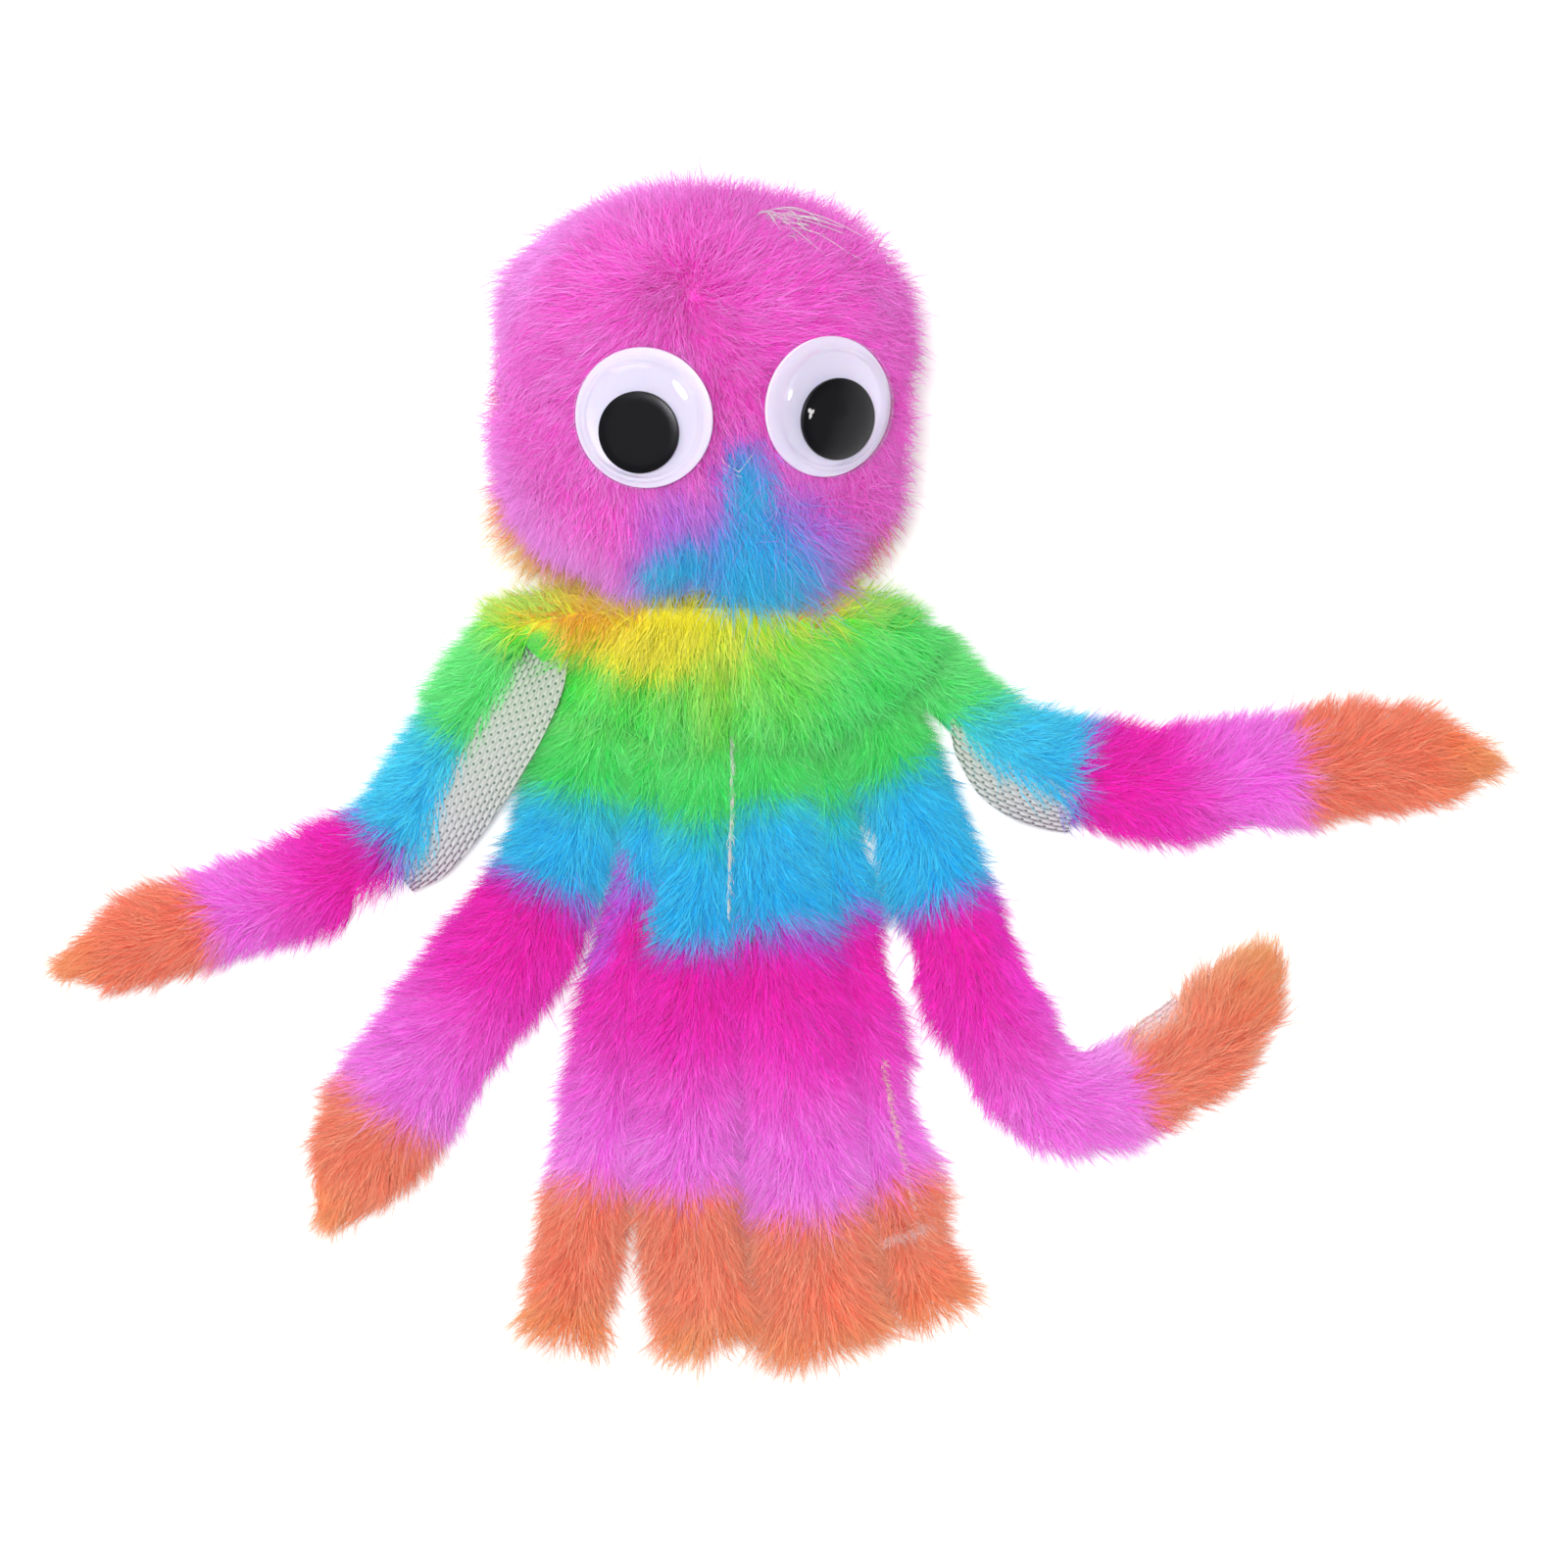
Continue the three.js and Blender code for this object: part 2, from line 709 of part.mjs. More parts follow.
function legJoints(leg) {
  const [upper, middle, tip] = ['upper', 'middle', 'tip'].map((part) => `${leg.name}_${part}`);
  const [firstSeam, secondSeam] = leg.seams;
  const first = leg.swings
    ? swingingHinge(leg, `${leg.name}_swing`, upper, middle, firstSeam, leg.firstRange)
    : risingHinge(leg, `${leg.name}_bend`, upper, middle, firstSeam, leg.firstRange);
  return [
    risingHinge(leg, `${leg.name}_lift`, 'skirt', upper, 0, liftRange),
    first,
    risingHinge(leg, `${leg.name}_curl`, middle, tip, secondSeam, curlRange),
  ];
}

function joints() {
  const neckPoint = new THREE.Vector3(0, neckSeam - seatGap / 2, neckHinge);
  const found = [hinge('neck_nod', 'head', 'skirt', neckPoint, new THREE.Vector3(-1, 0, 0), neckRange)];
  for (const leg of strips) found.push(...legJoints(leg));
  for (const eye of eyes) {
    const { place, normal } = eyeFrame(eye);
    found.push(hinge(`${eye.side}_pupil_roll`, 'head', `${eye.side}_pupil`, place, normal, 'continuous'));
  }
  return found;
}

const octopus = new THREE.Group();
octopus.add(headCover(), headStuffing(), neckTie(), legSkirt());
for (const leg of strips) octopus.add(...legStretches(leg));
for (const eye of eyes) octopus.add(gluePad(eye), eyePlate(eye), eyeCap(eye), pupil(eye));
octopus.userData.joints = joints();

export default octopus;
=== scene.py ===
import bpy
import numpy as np
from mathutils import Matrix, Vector


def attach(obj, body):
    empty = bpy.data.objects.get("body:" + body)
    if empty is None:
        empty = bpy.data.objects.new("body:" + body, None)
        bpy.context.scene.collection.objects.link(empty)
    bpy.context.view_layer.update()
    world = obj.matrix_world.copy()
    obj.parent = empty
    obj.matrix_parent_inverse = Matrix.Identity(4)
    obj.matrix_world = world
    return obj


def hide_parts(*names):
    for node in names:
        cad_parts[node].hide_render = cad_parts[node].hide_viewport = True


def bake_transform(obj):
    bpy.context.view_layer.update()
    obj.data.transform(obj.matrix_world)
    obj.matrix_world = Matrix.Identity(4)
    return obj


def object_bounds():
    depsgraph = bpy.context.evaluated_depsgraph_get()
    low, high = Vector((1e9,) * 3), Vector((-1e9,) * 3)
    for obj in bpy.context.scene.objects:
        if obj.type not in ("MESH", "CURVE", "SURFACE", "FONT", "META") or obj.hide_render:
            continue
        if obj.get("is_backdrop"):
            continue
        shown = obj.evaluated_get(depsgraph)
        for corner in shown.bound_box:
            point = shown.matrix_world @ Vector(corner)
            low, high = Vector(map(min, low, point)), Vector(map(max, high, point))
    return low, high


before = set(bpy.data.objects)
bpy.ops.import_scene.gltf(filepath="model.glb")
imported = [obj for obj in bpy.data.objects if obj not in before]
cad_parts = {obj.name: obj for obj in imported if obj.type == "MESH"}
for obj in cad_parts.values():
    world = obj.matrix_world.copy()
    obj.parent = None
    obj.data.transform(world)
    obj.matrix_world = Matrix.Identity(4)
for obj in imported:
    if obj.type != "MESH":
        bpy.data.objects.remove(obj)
cad_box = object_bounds()
mm = 0.001

# Camera, floor and light
# The toy lies on a white table in a white room and is seen from straight above through a long
# lens. A large soft lamp hangs overhead, and a second one, to the upper left, gives a little shape.

camera_height, measured_height, seen_width, sensor_width = 1.42, 20 * mm, 228.6 * mm, 36
floor_half = 6.0


def linear(red, green, blue):
    """A colour as Blender's linear values, from its parts on a screen, 0 to 255."""
    return [((c / 255 + 0.055) / 1.055) ** 2.4 if c > 10 else c / 3295 for c in (red, green, blue)]


def node(nodes, kind, **settings):
    """A new node, with some of its inputs and settings."""
    made = nodes.new(kind)
    for key, value in settings.items():
        key = key.replace("_", " ") if key.replace("_", " ") in made.inputs else key
        if key in made.inputs:
            made.inputs[key].default_value = value
        else:
            setattr(made, key, value)
    return made


def feed(links, socket, value):
    """Puts another node's output, or a plain number, into a socket."""
    if isinstance(value, bpy.types.NodeSocket):
        links.new(value, socket)
    else:
        socket.default_value = value


def worked_out(nodes, links, operation, *values):
    """The result of an operation on numbers and other nodes' outputs."""
    made = node(nodes, "ShaderNodeMath", operation=operation)
    for socket, value in zip(made.inputs, values):
        feed(links, socket, value)
    return made.outputs[0]


def remap(nodes, links, value, low, high, start, stop):
    """Goes from start to stop while the value goes from low to high."""
    made = node(nodes, "ShaderNodeMapRange", From_Min=low, From_Max=high, To_Min=start, To_Max=stop)
    links.new(value, made.inputs["Value"])
    return made.outputs["Result"]


def mix(nodes, links, kind, share, first, second):
    """Goes from the first number or colour to the second while the share goes from 0 to 1."""
    made = node(nodes, "ShaderNodeMix", data_type=kind)
    one, two, result = {"FLOAT": (2, 3, 0), "RGBA": (6, 7, 2)}[kind]
    for socket, value in ((0, share), (one, first), (two, second)):
        feed(links, made.inputs[socket], value)
    return made.outputs[result]


def new_material(name, roughness=0.6):
    """A material, with its nodes, links and shader."""
    made = bpy.data.materials.new(name)
    made.use_nodes = True
    nodes, links = made.node_tree.nodes, made.node_tree.links
    shader = nodes["Principled BSDF"]
    shader.inputs["Roughness"].default_value = roughness
    return made, nodes, links, shader


camera = bpy.data.objects.new("camera", bpy.data.cameras.new("camera"))
camera.location = (12 * mm, -57.1 * mm, camera_height)
camera.data.sensor_width = sensor_width
camera.data.lens = sensor_width * (camera_height - measured_height) / seen_width
camera.data.clip_end = 20
bpy.context.scene.collection.objects.link(camera)
bpy.context.scene.camera = camera
bpy.context.scene.view_settings.view_transform = "Standard"

floor_mesh = bpy.data.meshes.new("floor")
floor_shares = ((-1, -1), (1, -1), (1, 1), (-1, 1))
floor_corners = [(x * floor_half, y * floor_half, 0) for x, y in floor_shares]
floor_mesh.from_pydata(floor_corners, [], [(0, 1, 2, 3)])
floor = bpy.data.objects.new("floor", floor_mesh)
bpy.context.scene.collection.objects.link(floor)
floor_material, nodes, links, shader = new_material("white table", 0.9)
shader.inputs["Base Color"].default_value = (0.9, 0.9, 0.9, 1)
shader.inputs["Specular IOR Level"].default_value = 0.1
shader.inputs["Emission Color"].default_value = (1, 1, 1, 1)
path = nodes.new("ShaderNodeLightPath")
place = nodes.new("ShaderNodeTexCoord")
away = node(nodes, "ShaderNodeVectorMath", operation="LENGTH")
links.new(place.outputs["Object"], away.inputs[0])
far = remap(nodes, links, away.outputs["Value"], 0.4, 1.4, 0.3, 1.0)
glow = worked_out(nodes, links, "MULTIPLY", path.outputs["Is Camera Ray"], far)
links.new(glow, shader.inputs["Emission Strength"])
floor_mesh.materials.append(floor_material)
floor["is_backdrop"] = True

world = bpy.data.worlds.new("studio")
bpy.context.scene.world = world
world.use_nodes = True
nodes, links = world.node_tree.nodes, world.node_tree.links
background = nodes["Background"]
background.inputs["Color"].default_value = (1, 1, 1, 1)
direction = nodes.new("ShaderNodeTexCoord")
height = nodes.new("ShaderNodeSeparateXYZ")
links.new(direction.outputs["Generated"], height.inputs[0])
seen = nodes.new("ShaderNodeLightPath")
lit = remap(nodes, links, height.outputs["Z"], 0.76, 0.94, 0.36, 0.1)
mirrored = remap(nodes, links, height.outputs["Z"], 0.35, 0.56, 1.0, 0.03)
room = mix(nodes, links, "FLOAT", seen.outputs["Is Glossy Ray"], lit, mirrored)
room = mix(nodes, links, "FLOAT", seen.outputs["Is Camera Ray"], room, 1.0)
links.new(room, background.inputs["Strength"])

for place, size, power in (
    ((-0.12, 0.05, 2.6), 0.5, 57),
    ((-0.7, 0.6, 1.1), 0.8, 4),
):
    lamp = bpy.data.lights.new("softbox", "AREA")
    lamp.shape = "DISK"
    lamp.size = size
    lamp.energy = power
    softbox = bpy.data.objects.new("softbox", lamp)
    softbox.location = place
    aim = Vector((0, -0.05, 0)) - Vector(place)
    softbox.rotation_euler = aim.to_track_quat("-Z", "Y").to_euler()
    softbox.visible_camera = False
    bpy.context.scene.collection.objects.link(softbox)

# Head cover
# A ball of long-pile cloth, face up, its pile lying outwards from the forehead. The face is
# magenta, the chin runs through purple to blue, and the back of the head is red and orange.


def unit(v):
    """Directions of length 1."""
    return v / np.maximum(np.linalg.norm(v, axis=-1, keepdims=True), 1e-12)


def smooth(x, low, high):
    """Rises softly from 0 to 1 while x goes from low to high."""
    t = np.clip((x - low) / (high - low), 0, 1)
    return t * t * (3 - 2 * t)


def drift(points, scale, seed):
    """Three slow waves over the points, each from about -1 to 1."""
    wave = np.random.default_rng(seed)
    total = np.zeros((len(points), 3))
    for _ in range(5):
        direction = wave.normal(size=(3, 3)) / scale
        phase = wave.uniform(0, 2 * np.pi, 3)
        total += np.sin(points @ direction.T + phase)
    return total / 2.6


def ring_quads(rings, sides):
    """The quads of a tube, from each ring of points to the next, all the way round."""
    i, j = np.meshgrid(np.arange(rings - 1), np.arange(sides), indexing="ij")
    near, far, on = i * sides, (i + 1) * sides, (j + 1) % sides
    return np.stack([near + j, near + on, far + on, far + j], 2).reshape(-1, 4)


def piece(name, points, faces, chart, material, body=None, round_faces=None, chart_name="OFBake"):
    """A mesh from its points, its quads and triangles, and each corner's place on the pile's chart.
    Only the first round_faces of the faces are shaded smooth, or all of them."""
    mesh = bpy.data.meshes.new(name)
    sizes = np.concatenate([np.full(len(f), f.shape[1]) for f in faces])
    corners = np.concatenate([f.ravel() for f in faces]).astype(np.int32)
    mesh.vertices.add(len(points))
    mesh.vertices.foreach_set("co", points.astype(np.float32).ravel())
    mesh.loops.add(len(corners))
    mesh.loops.foreach_set("vertex_index", corners)
    mesh.polygons.add(len(sizes))
    starts = np.concatenate([[0], np.cumsum(sizes)[:-1]]).astype(np.int32)
    mesh.polygons.foreach_set("loop_start", starts)
    smoothed = np.ones(len(sizes), bool)
    if round_faces is not None:
        smoothed[round_faces:] = False
    mesh.polygons.foreach_set("use_smooth", smoothed)
    if chart is not None:
        layer = mesh.uv_layers.new(name=chart_name)
        layer.data.foreach_set("uv", chart.astype(np.float32).ravel())
    mesh.update(calc_edges=True)
    mesh.materials.append(material)
    made = bpy.data.objects.new(name, mesh)
    bpy.context.scene.collection.objects.link(made)
    if body:
        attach(made, body)
    return made


def leaders(roots, per_tuft, random):
    """For each root, the number and place of its tuft's leader: the nearest chosen root."""
    order = random.permutation(len(roots))
    chosen = roots[order[: max(4, len(roots) // per_tuft)]].astype(np.float32)
    spots = roots.astype(np.float32)
    nearest = np.zeros(len(roots), int)
    for start in range(0, len(roots), 2000):
        block = spots[start : start + 2000]
        gaps = (chosen**2).sum(1)[None] - 2 * block @ chosen.T
        nearest[start : start + 2000] = gaps.argmin(1)
    return nearest, chosen[nearest]


stray_share, stray_excess = 0.02, 0.35
tuft_lean, hair_bow, hair_taper = 0.2, 0.13, 0.2
lowest_hair = 0.12 * mm
chart_half_width, chart_end = 0.0022, 0.996


def hairs(roots, first, last, length, radius, tone, random, gather, per_tuft, paler=0, limit=None):
    """Tapered three-sided hairs that start along first and end along last, drawn together into
    tufts, but for a few strays. Returns points, quads, triangles and the chart place of each
    corner: tone across, root to tip up."""
    knots = 2
    count = len(roots)
    tuft, centre = leaders(roots, per_tuft, random)
    tufts = tuft.max() + 1
    stray = random.uniform(0, 1, count) < stray_share
    length = length * (1 + stray_excess * stray)
    lean = random.normal(size=(tufts, 3))[tuft] * tuft_lean
    steps = np.arange(knots + 1) / knots
    path = np.zeros((count, knots + 1, 3))
    bow = unit(random.normal(size=(count, 3))) * (hair_bow * length)[:, None]
    for k, t in enumerate(steps):
        bend = 0.5 * t * t * (last - first) + 0.5 * t * t * lean
        spot = roots + length[:, None] * (t * first + bend)
        spot += (centre - roots) * (gather * t**1.4 * ~stray[:, None]) + bow * (t * (1 - t) * 4)
        path[:, k] = spot
    if limit is not None:
        path = limit(path, roots)
    path[..., 2] = np.maximum(path[..., 2], lowest_hair + radius[:, None])
    along = unit(path[:, -1] - path[:, 0])
    side = unit(np.cross(along, unit(random.normal(size=(count, 3)))))
    up = np.cross(along, side)
    points = np.zeros((count, 3 * knots + 1, 3))
    for k in range(knots):
        thick = radius * (1 - hair_taper * steps[k])
        for j, angle in enumerate(np.arange(3) * 2 * np.pi / 3):
            arm = np.cos(angle) * side + np.sin(angle) * up
            points[:, 3 * k + j] = path[:, k] + thick[:, None] * arm
    points[:, -1] = path[:, -1]
    quads, tips, quad_chart, tip_chart = [], [], [], []
    across = np.array([-chart_half_width, 0, chart_half_width])
    for j in range(3):
        n = (j + 1) % 3
        for k in range(knots - 1):
            quads.append([3 * k + j, 3 * k + n, 3 * k + 3 + n, 3 * k + 3 + j])
            low, high = steps[k], steps[k + 1]
            edge, next_edge = across[j], across[n]
            quad_chart.append([(edge, low), (next_edge, low), (next_edge, high), (edge, high)])
        k = knots - 1
        tips.append([3 * k + j, 3 * k + n, 3 * knots])
        tip_chart.append([(across[j], steps[k]), (across[n], steps[k]), (0, 1)])
    offset = (np.arange(count) * (3 * knots + 1))[:, None, None]
    by_tuft, by_hair = random.normal(size=tufts)[tuft], random.normal(size=count)
    # pale moves a hair's colour up the chart towards its tip colour: at random by tuft, hair and
    # stray, and by the caller's paler, which for the head's outline and the skirt holds painted
    # light and shade.
    pale = np.clip(0.5 + 0.34 * by_tuft + 0.16 * by_hair + paler + 0.6 * stray, 0, 1.8)
    foot, rise = 0.04 + 0.14 * pale, 0.4 + 0.24 * pale
    place = np.stack([np.clip(tone, 0.004, chart_end), foot], 1)[:, None, None]
    spread = np.stack([np.ones(count), rise], 1)[:, None, None]
    quad_chart = np.minimum(place + np.array(quad_chart)[None] * spread, chart_end)
    tip_chart = np.minimum(place + np.array(tip_chart)[None] * spread, chart_end)
    quads = (np.array(quads)[None] + offset).reshape(-1, 4)
    tips = (np.array(tips)[None] + offset).reshape(-1, 3)
    return points.reshape(-1, 3), quads, tips, quad_chart.reshape(-1, 2), tip_chart.reshape(-1, 2)


def with_skin(skin_points, skin_quads, skin_tone, grown):
    """The skin and its hairs as one mesh. The skin takes the colour of the hairs low down."""
    points, quads, tips, quad_chart, tip_chart = grown
    tone = skin_tone[skin_quads]
    middle = tone.mean(1, keepdims=True)
    tone = middle + np.sign(tone - middle) * np.maximum(abs(tone - middle), 0.001)
    up = np.tile([0.3, 0.3, 0.34, 0.34], (len(skin_quads), 1))
    chart = np.concatenate([np.stack([tone, up], 2).reshape(-1, 2), quad_chart, tip_chart])
    shift = len(skin_points)
    return np.concatenate([skin_points, points]), [skin_quads, quads + shift, tips + shift], chart


def ramp(nodes, links, value, stops):
    """A colour that follows a value, by stops of a place and a linear colour."""
    made = nodes.new("ShaderNodeValToRGB")
    elements = made.color_ramp.elements
    while len(elements) < len(stops):
        elements.new(0.5)
    for element, (place, colour) in zip(elements, stops):
        element.position = place
        element.color = (*colour, 1)
    links.new(value, made.inputs["Fac"])
    return made.outputs["Color"]


def pile_material(name, stops, streaks):
    """Dyed pile. Each stop gives a place on the chart, the colour at the roots and at the tips."""
    made, nodes, links, shader = new_material(name, 0.5)
    chart = node(nodes, "ShaderNodeUVMap", uv_map="OFBake")
    split = nodes.new("ShaderNodeSeparateXYZ")
    links.new(chart.outputs["UV"], split.inputs[0])
    at_roots, at_tips = (
        ramp(nodes, links, split.outputs["X"], [(stop[0], linear(*stop[end])) for stop in stops])
        for end in (1, 2)
    )
    rise = remap(nodes, links, split.outputs["Y"], 0.1, 0.95, 0, 1)
    dyed = mix(nodes, links, "RGBA", rise, at_roots, at_tips)
    stretch = nodes.new("ShaderNodeMapping")
    stretch.inputs["Scale"].default_value = (streaks, 1.4, 1)
    links.new(chart.outputs["UV"], stretch.inputs["Vector"])
    noise = node(nodes, "ShaderNodeTexNoise", Scale=1.0, Detail=3.0)
    links.new(stretch.outputs["Vector"], noise.inputs["Vector"])
    toned = nodes.new("ShaderNodeHueSaturation")
    level = remap(nodes, links, noise.outputs["Fac"], 0.3, 0.7, 0.86, 1.03)
    links.new(level, toned.inputs["Value"])
    links.new(dyed, toned.inputs["Color"])
    links.new(toned.outputs["Color"], shader.inputs["Base Color"])
    rough = remap(nodes, links, noise.outputs["Fac"], 0, 1, 0.42, 0.62)
    links.new(rough, shader.inputs["Roughness"])
    shader.inputs["Sheen Weight"].default_value = 0.15
    shader.inputs["Sheen Roughness"].default_value = 0.5
    shader.inputs["Specular IOR Level"].default_value = 0.15
    return made


head_middle = 25 * mm
head_half = np.array([28.5, 26.5, 25.5]) * mm
head_inset = 1.8 * mm
head_squareness = 0.83
head_power = 2 / head_squareness
face_hair_radius = 0.068 * mm
crown_bumps = ((-16.6, 26), (24, 20))
whorl_x, whorl_y, whorl_size = -1, 12.5, 9
back_place, face_rise, purple_place, blue_place = 0.06, 0.5, 0.79, 0.94

# Patches of dye on the chin, by centre, half-widths in mm, and softness of edge.
purple_patches = (
    ((-3, -18), (8, 8), 0.8),
    ((13.5, -17), (6, 9), 0.8),
    ((5, -11), (6, 5), 0.8),
)
blue_patches = (
    ((6, -12), (3.4, 5.5), 0.7),
    ((6, -20.5), (5.4, 8.5), 0.6),
    ((-3, -22), (4.8, 3.4), 0.8),
)

face_pile = pile_material(
    "face pile",
    [
        (0.00, (255, 190, 50), (255, 232, 150)),
        (0.14, (255, 145, 45), (255, 205, 130)),
        (0.24, (255, 85, 50), (255, 160, 125)),
        (0.34, (255, 55, 120), (255, 150, 200)),
        (0.44, (255, 44, 212), (255, 176, 252)),
        (0.68, (255, 40, 215), (255, 174, 252)),
        (0.78, (200, 95, 240), (232, 175, 255)),
        (0.86, (80, 145, 245), (150, 212, 255)),
        (0.92, (0, 180, 250), (90, 232, 255)),
        (1.00, (0, 172, 245), (80, 225, 255)),
    ],
    260,
)


def plate_frame(name):
    """The middle of a disc's back and its facing, read off its CAD node."""
    points = np.array([v.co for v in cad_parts[name].data.vertices])
    points = np.unique(points.round(7), axis=0)
    centre = points.mean(0)
    facing = np.linalg.svd(points - centre)[2][2]
    facing = facing * np.sign(facing[2])
    heights = (points - centre) @ facing
    return centre + facing * heights.min(), facing


eye_radius, eye_gap, eye_surround = 10.15 * mm, 0.3 * mm, 5 * mm
pressed_depth, rim_height, rim_slope = 0.35 * mm, 0.1 * mm, 0.9
eye_seats = {side: plate_frame(f"{side}_eye_back") for side in ("left", "right")}


def under_eyes(path, roots):
    """Hairs under an eye lie flat behind it, and those around it stand up beyond its rim slowly."""
    for back, facing in eye_seats.values():
        local = path - back
        height = local @ facing
        flat = local - height[..., None] * facing
        reach = np.linalg.norm(flat, axis=-1)
        from_back = roots - back
        root_reach = np.linalg.norm(from_back - (from_back @ facing)[:, None] * facing, axis=-1)
        beside = (root_reach[:, None] > eye_radius) & (reach < eye_radius + eye_gap)
        push = beside & (height > -0.4 * mm)
        out = unit(flat) * (eye_radius + eye_gap)
        path = np.where(push[..., None], back + out + height[..., None] * facing, path)
        reach = np.where(push, eye_radius + eye_gap, reach)
        slope = rim_height + rim_slope * (reach - eye_radius)
        ceiling = np.where(reach < eye_radius + 0.25 * mm, -pressed_depth, slope)
        over = np.maximum(height - ceiling, 0)
        near = reach < eye_radius + eye_surround
        path = path - np.where(near, over, 0)[..., None] * facing
    return path


def head_point(directions, inset):
    """Points on the ball, a way in from the tips of its pile, and the directions out of it."""
    half = head_half - inset
    spot = np.sign(directions) * abs(directions) ** head_squareness * half
    slope = np.sign(spot) * (abs(spot) / half) ** (head_power - 1) / half
    normals = unit(slope)
    lumps = 0.45 * mm * np.sin(spot[..., :1] / (7 * mm) + 1) * np.cos(spot[..., 1:2] / (6 * mm))
    return spot + normals * lumps + [0, 0, head_middle], normals


def spot_on(x, y, centre, half_width, edge):
    """How far inside a round patch of the face each point is, from 0 to 1."""
    away = np.hypot((x - centre[0]) / half_width[0], (y - centre[1]) / half_width[1])
    return smooth(1 - away, -edge, edge)


def head_tone(spot, random):
    """Where on the chart the head's pile lies at each point."""
    x, y, z = (spot / mm).T
    side = smooth(z + 0.25 * y + 1.5 * np.sin(0.3 * x) + 0.05 * x, 6, 20)
    tone = back_place + face_rise * side
    low = smooth(-y - 0.25 * abs(x), 2, 14) * smooth(25 - z, 0, 7)
    tone = tone + (0.05 + 0.17 * smooth(x, 0, 14) - tone) * low
    front = smooth(z, 14, 24)
    purple = np.maximum.reduce([spot_on(x, y, *patch) for patch in purple_patches])
    blue = np.maximum.reduce([spot_on(x, y, *patch) for patch in blue_patches])
    tone = tone + (purple_place - tone) * purple * front * 0.9
    tone = tone + (blue_place - tone) * blue * front
    tone = tone + 0.02 * drift(spot, 2.2 * mm, 12)[:, 0]
    return tone + random.normal(size=len(tone)) * 0.016


def head_pile(low, high, count, seed, length):
    """The pile between two heights, as shares of the way from the back of the head to the face. It
    turns out of a whorl on the forehead, and is longer below the chin and beside the neck."""
    random = np.random.default_rng(seed)
    spin = random.uniform(0, 2 * np.pi, count)
    rise = random.uniform(low, high, count)
    flat = np.sqrt(1 - rise**2)
    directions = np.stack([flat * np.cos(spin), flat * np.sin(spin), rise], 1)
    roots, normals = head_point(directions, head_inset)
    x, y, z = (roots / mm).T
    outward = np.stack([x - whorl_x, y - whorl_y, np.zeros(count)], 1)
    away = np.linalg.norm(outward, axis=1)
    whorl = 0.9 * np.exp(-((away / whorl_size) ** 2)) * away
    outward[:, :2] += whorl[:, None] * unit(np.stack([whorl_y - y, x - whorl_x], 1))
    strength = 0.4 + 0.6 * smooth(away, 0, 7)[:, None]
    comb = unit(outward) * strength
    comb -= (comb * normals).sum(1)[:, None] * normals
    comb += 0.36 * drift(roots, 7 * mm, 5) + 0.24 * random.normal(size=(count, 3))
    lift = 0.6 + 0.2 * drift(roots, 5 * mm, 9)[:, :1]
    first = unit(comb * 0.9 + normals * (lift + 0.15))
    last = unit(comb * 1.4 + normals * (lift - 0.5))
    chin = smooth(-y, 10, 20) * smooth(z, 14, 28)
    last = unit(last + chin[:, None] * np.array([0.12, -0.8, -0.5]))
    low_back = smooth(-y, 4, 16) * smooth(24 - z, 0, 8)
    sideways = np.stack([np.sign(x) * 1.0, -0.55 + 0 * x, 0.05 + 0 * x], 1)
    sideways += 0.4 * drift(roots, 3 * mm, 6) + 0.25 * random.normal(size=(count, 3))
    last = unit(last + (low_back * smooth(abs(x), 6, 16))[:, None] * 1.2 * sideways)
    lengths = length * random.uniform(0.75, 1.08, count)
    lengths *= 1 + 0.14 * drift(roots, 8 * mm, 3)[:, 0] + 0.12 * drift(roots, 2.5 * mm, 4)[:, 1]
    lengths *= 1 + 0.3 * chin * smooth(x, -2, 8) + 0.75 * low_back * smooth(abs(x), 8, 18)
    lengths *= 1 + 0.35 * spot_on(x, y, (9, -23), (7, 7), 0.4) * smooth(z, 14, 24)
    bumps = [np.exp(-((x - at_x) ** 2 + (y - at_y) ** 2) / 30) for at_x, at_y in crown_bumps]
    lengths *= 1 + 0.45 * sum(bumps)
    tone = head_tone(roots, random)
    radius = face_hair_radius * random.uniform(0.7, 1.25, count)
    wide, tall, _ = head_half / mm
    # Painted light: the pile is paler round the head's outline, most on the left, as a painted glow
    # of light through the hair tips there, and paler over the left side, as painted light from the
    # upper left.
    rim_glow = smooth(np.hypot(x / wide, y / tall), 0.82, 1.0)
    paler = (1.1 - 0.9 * smooth(x, -8, 22)) * rim_glow + 0.22 * smooth(-x, -2, 20) - 0.08
    return hairs(roots, first, last, lengths, radius, tone, random, 0.5, 10, paler, under_eyes)


rings, sides = 48, 72
rise = np.cos(np.linspace(0, np.pi, rings))
spin = np.arange(sides) * 2 * np.pi / sides
flat = np.sqrt(np.maximum(0, 1 - rise**2))
level = np.repeat(rise[:, None], sides, 1)
ball = np.stack([np.outer(flat, np.cos(spin)), np.outer(flat, np.sin(spin)), level], 2)
ball = ball.reshape(-1, 3)
skin, _ = head_point(ball, head_inset)
skin_quads = ring_quads(rings, sides)[:, [0, 3, 2, 1]]
skin_tone = head_tone(skin, np.random.default_rng(1))

density = 1.0
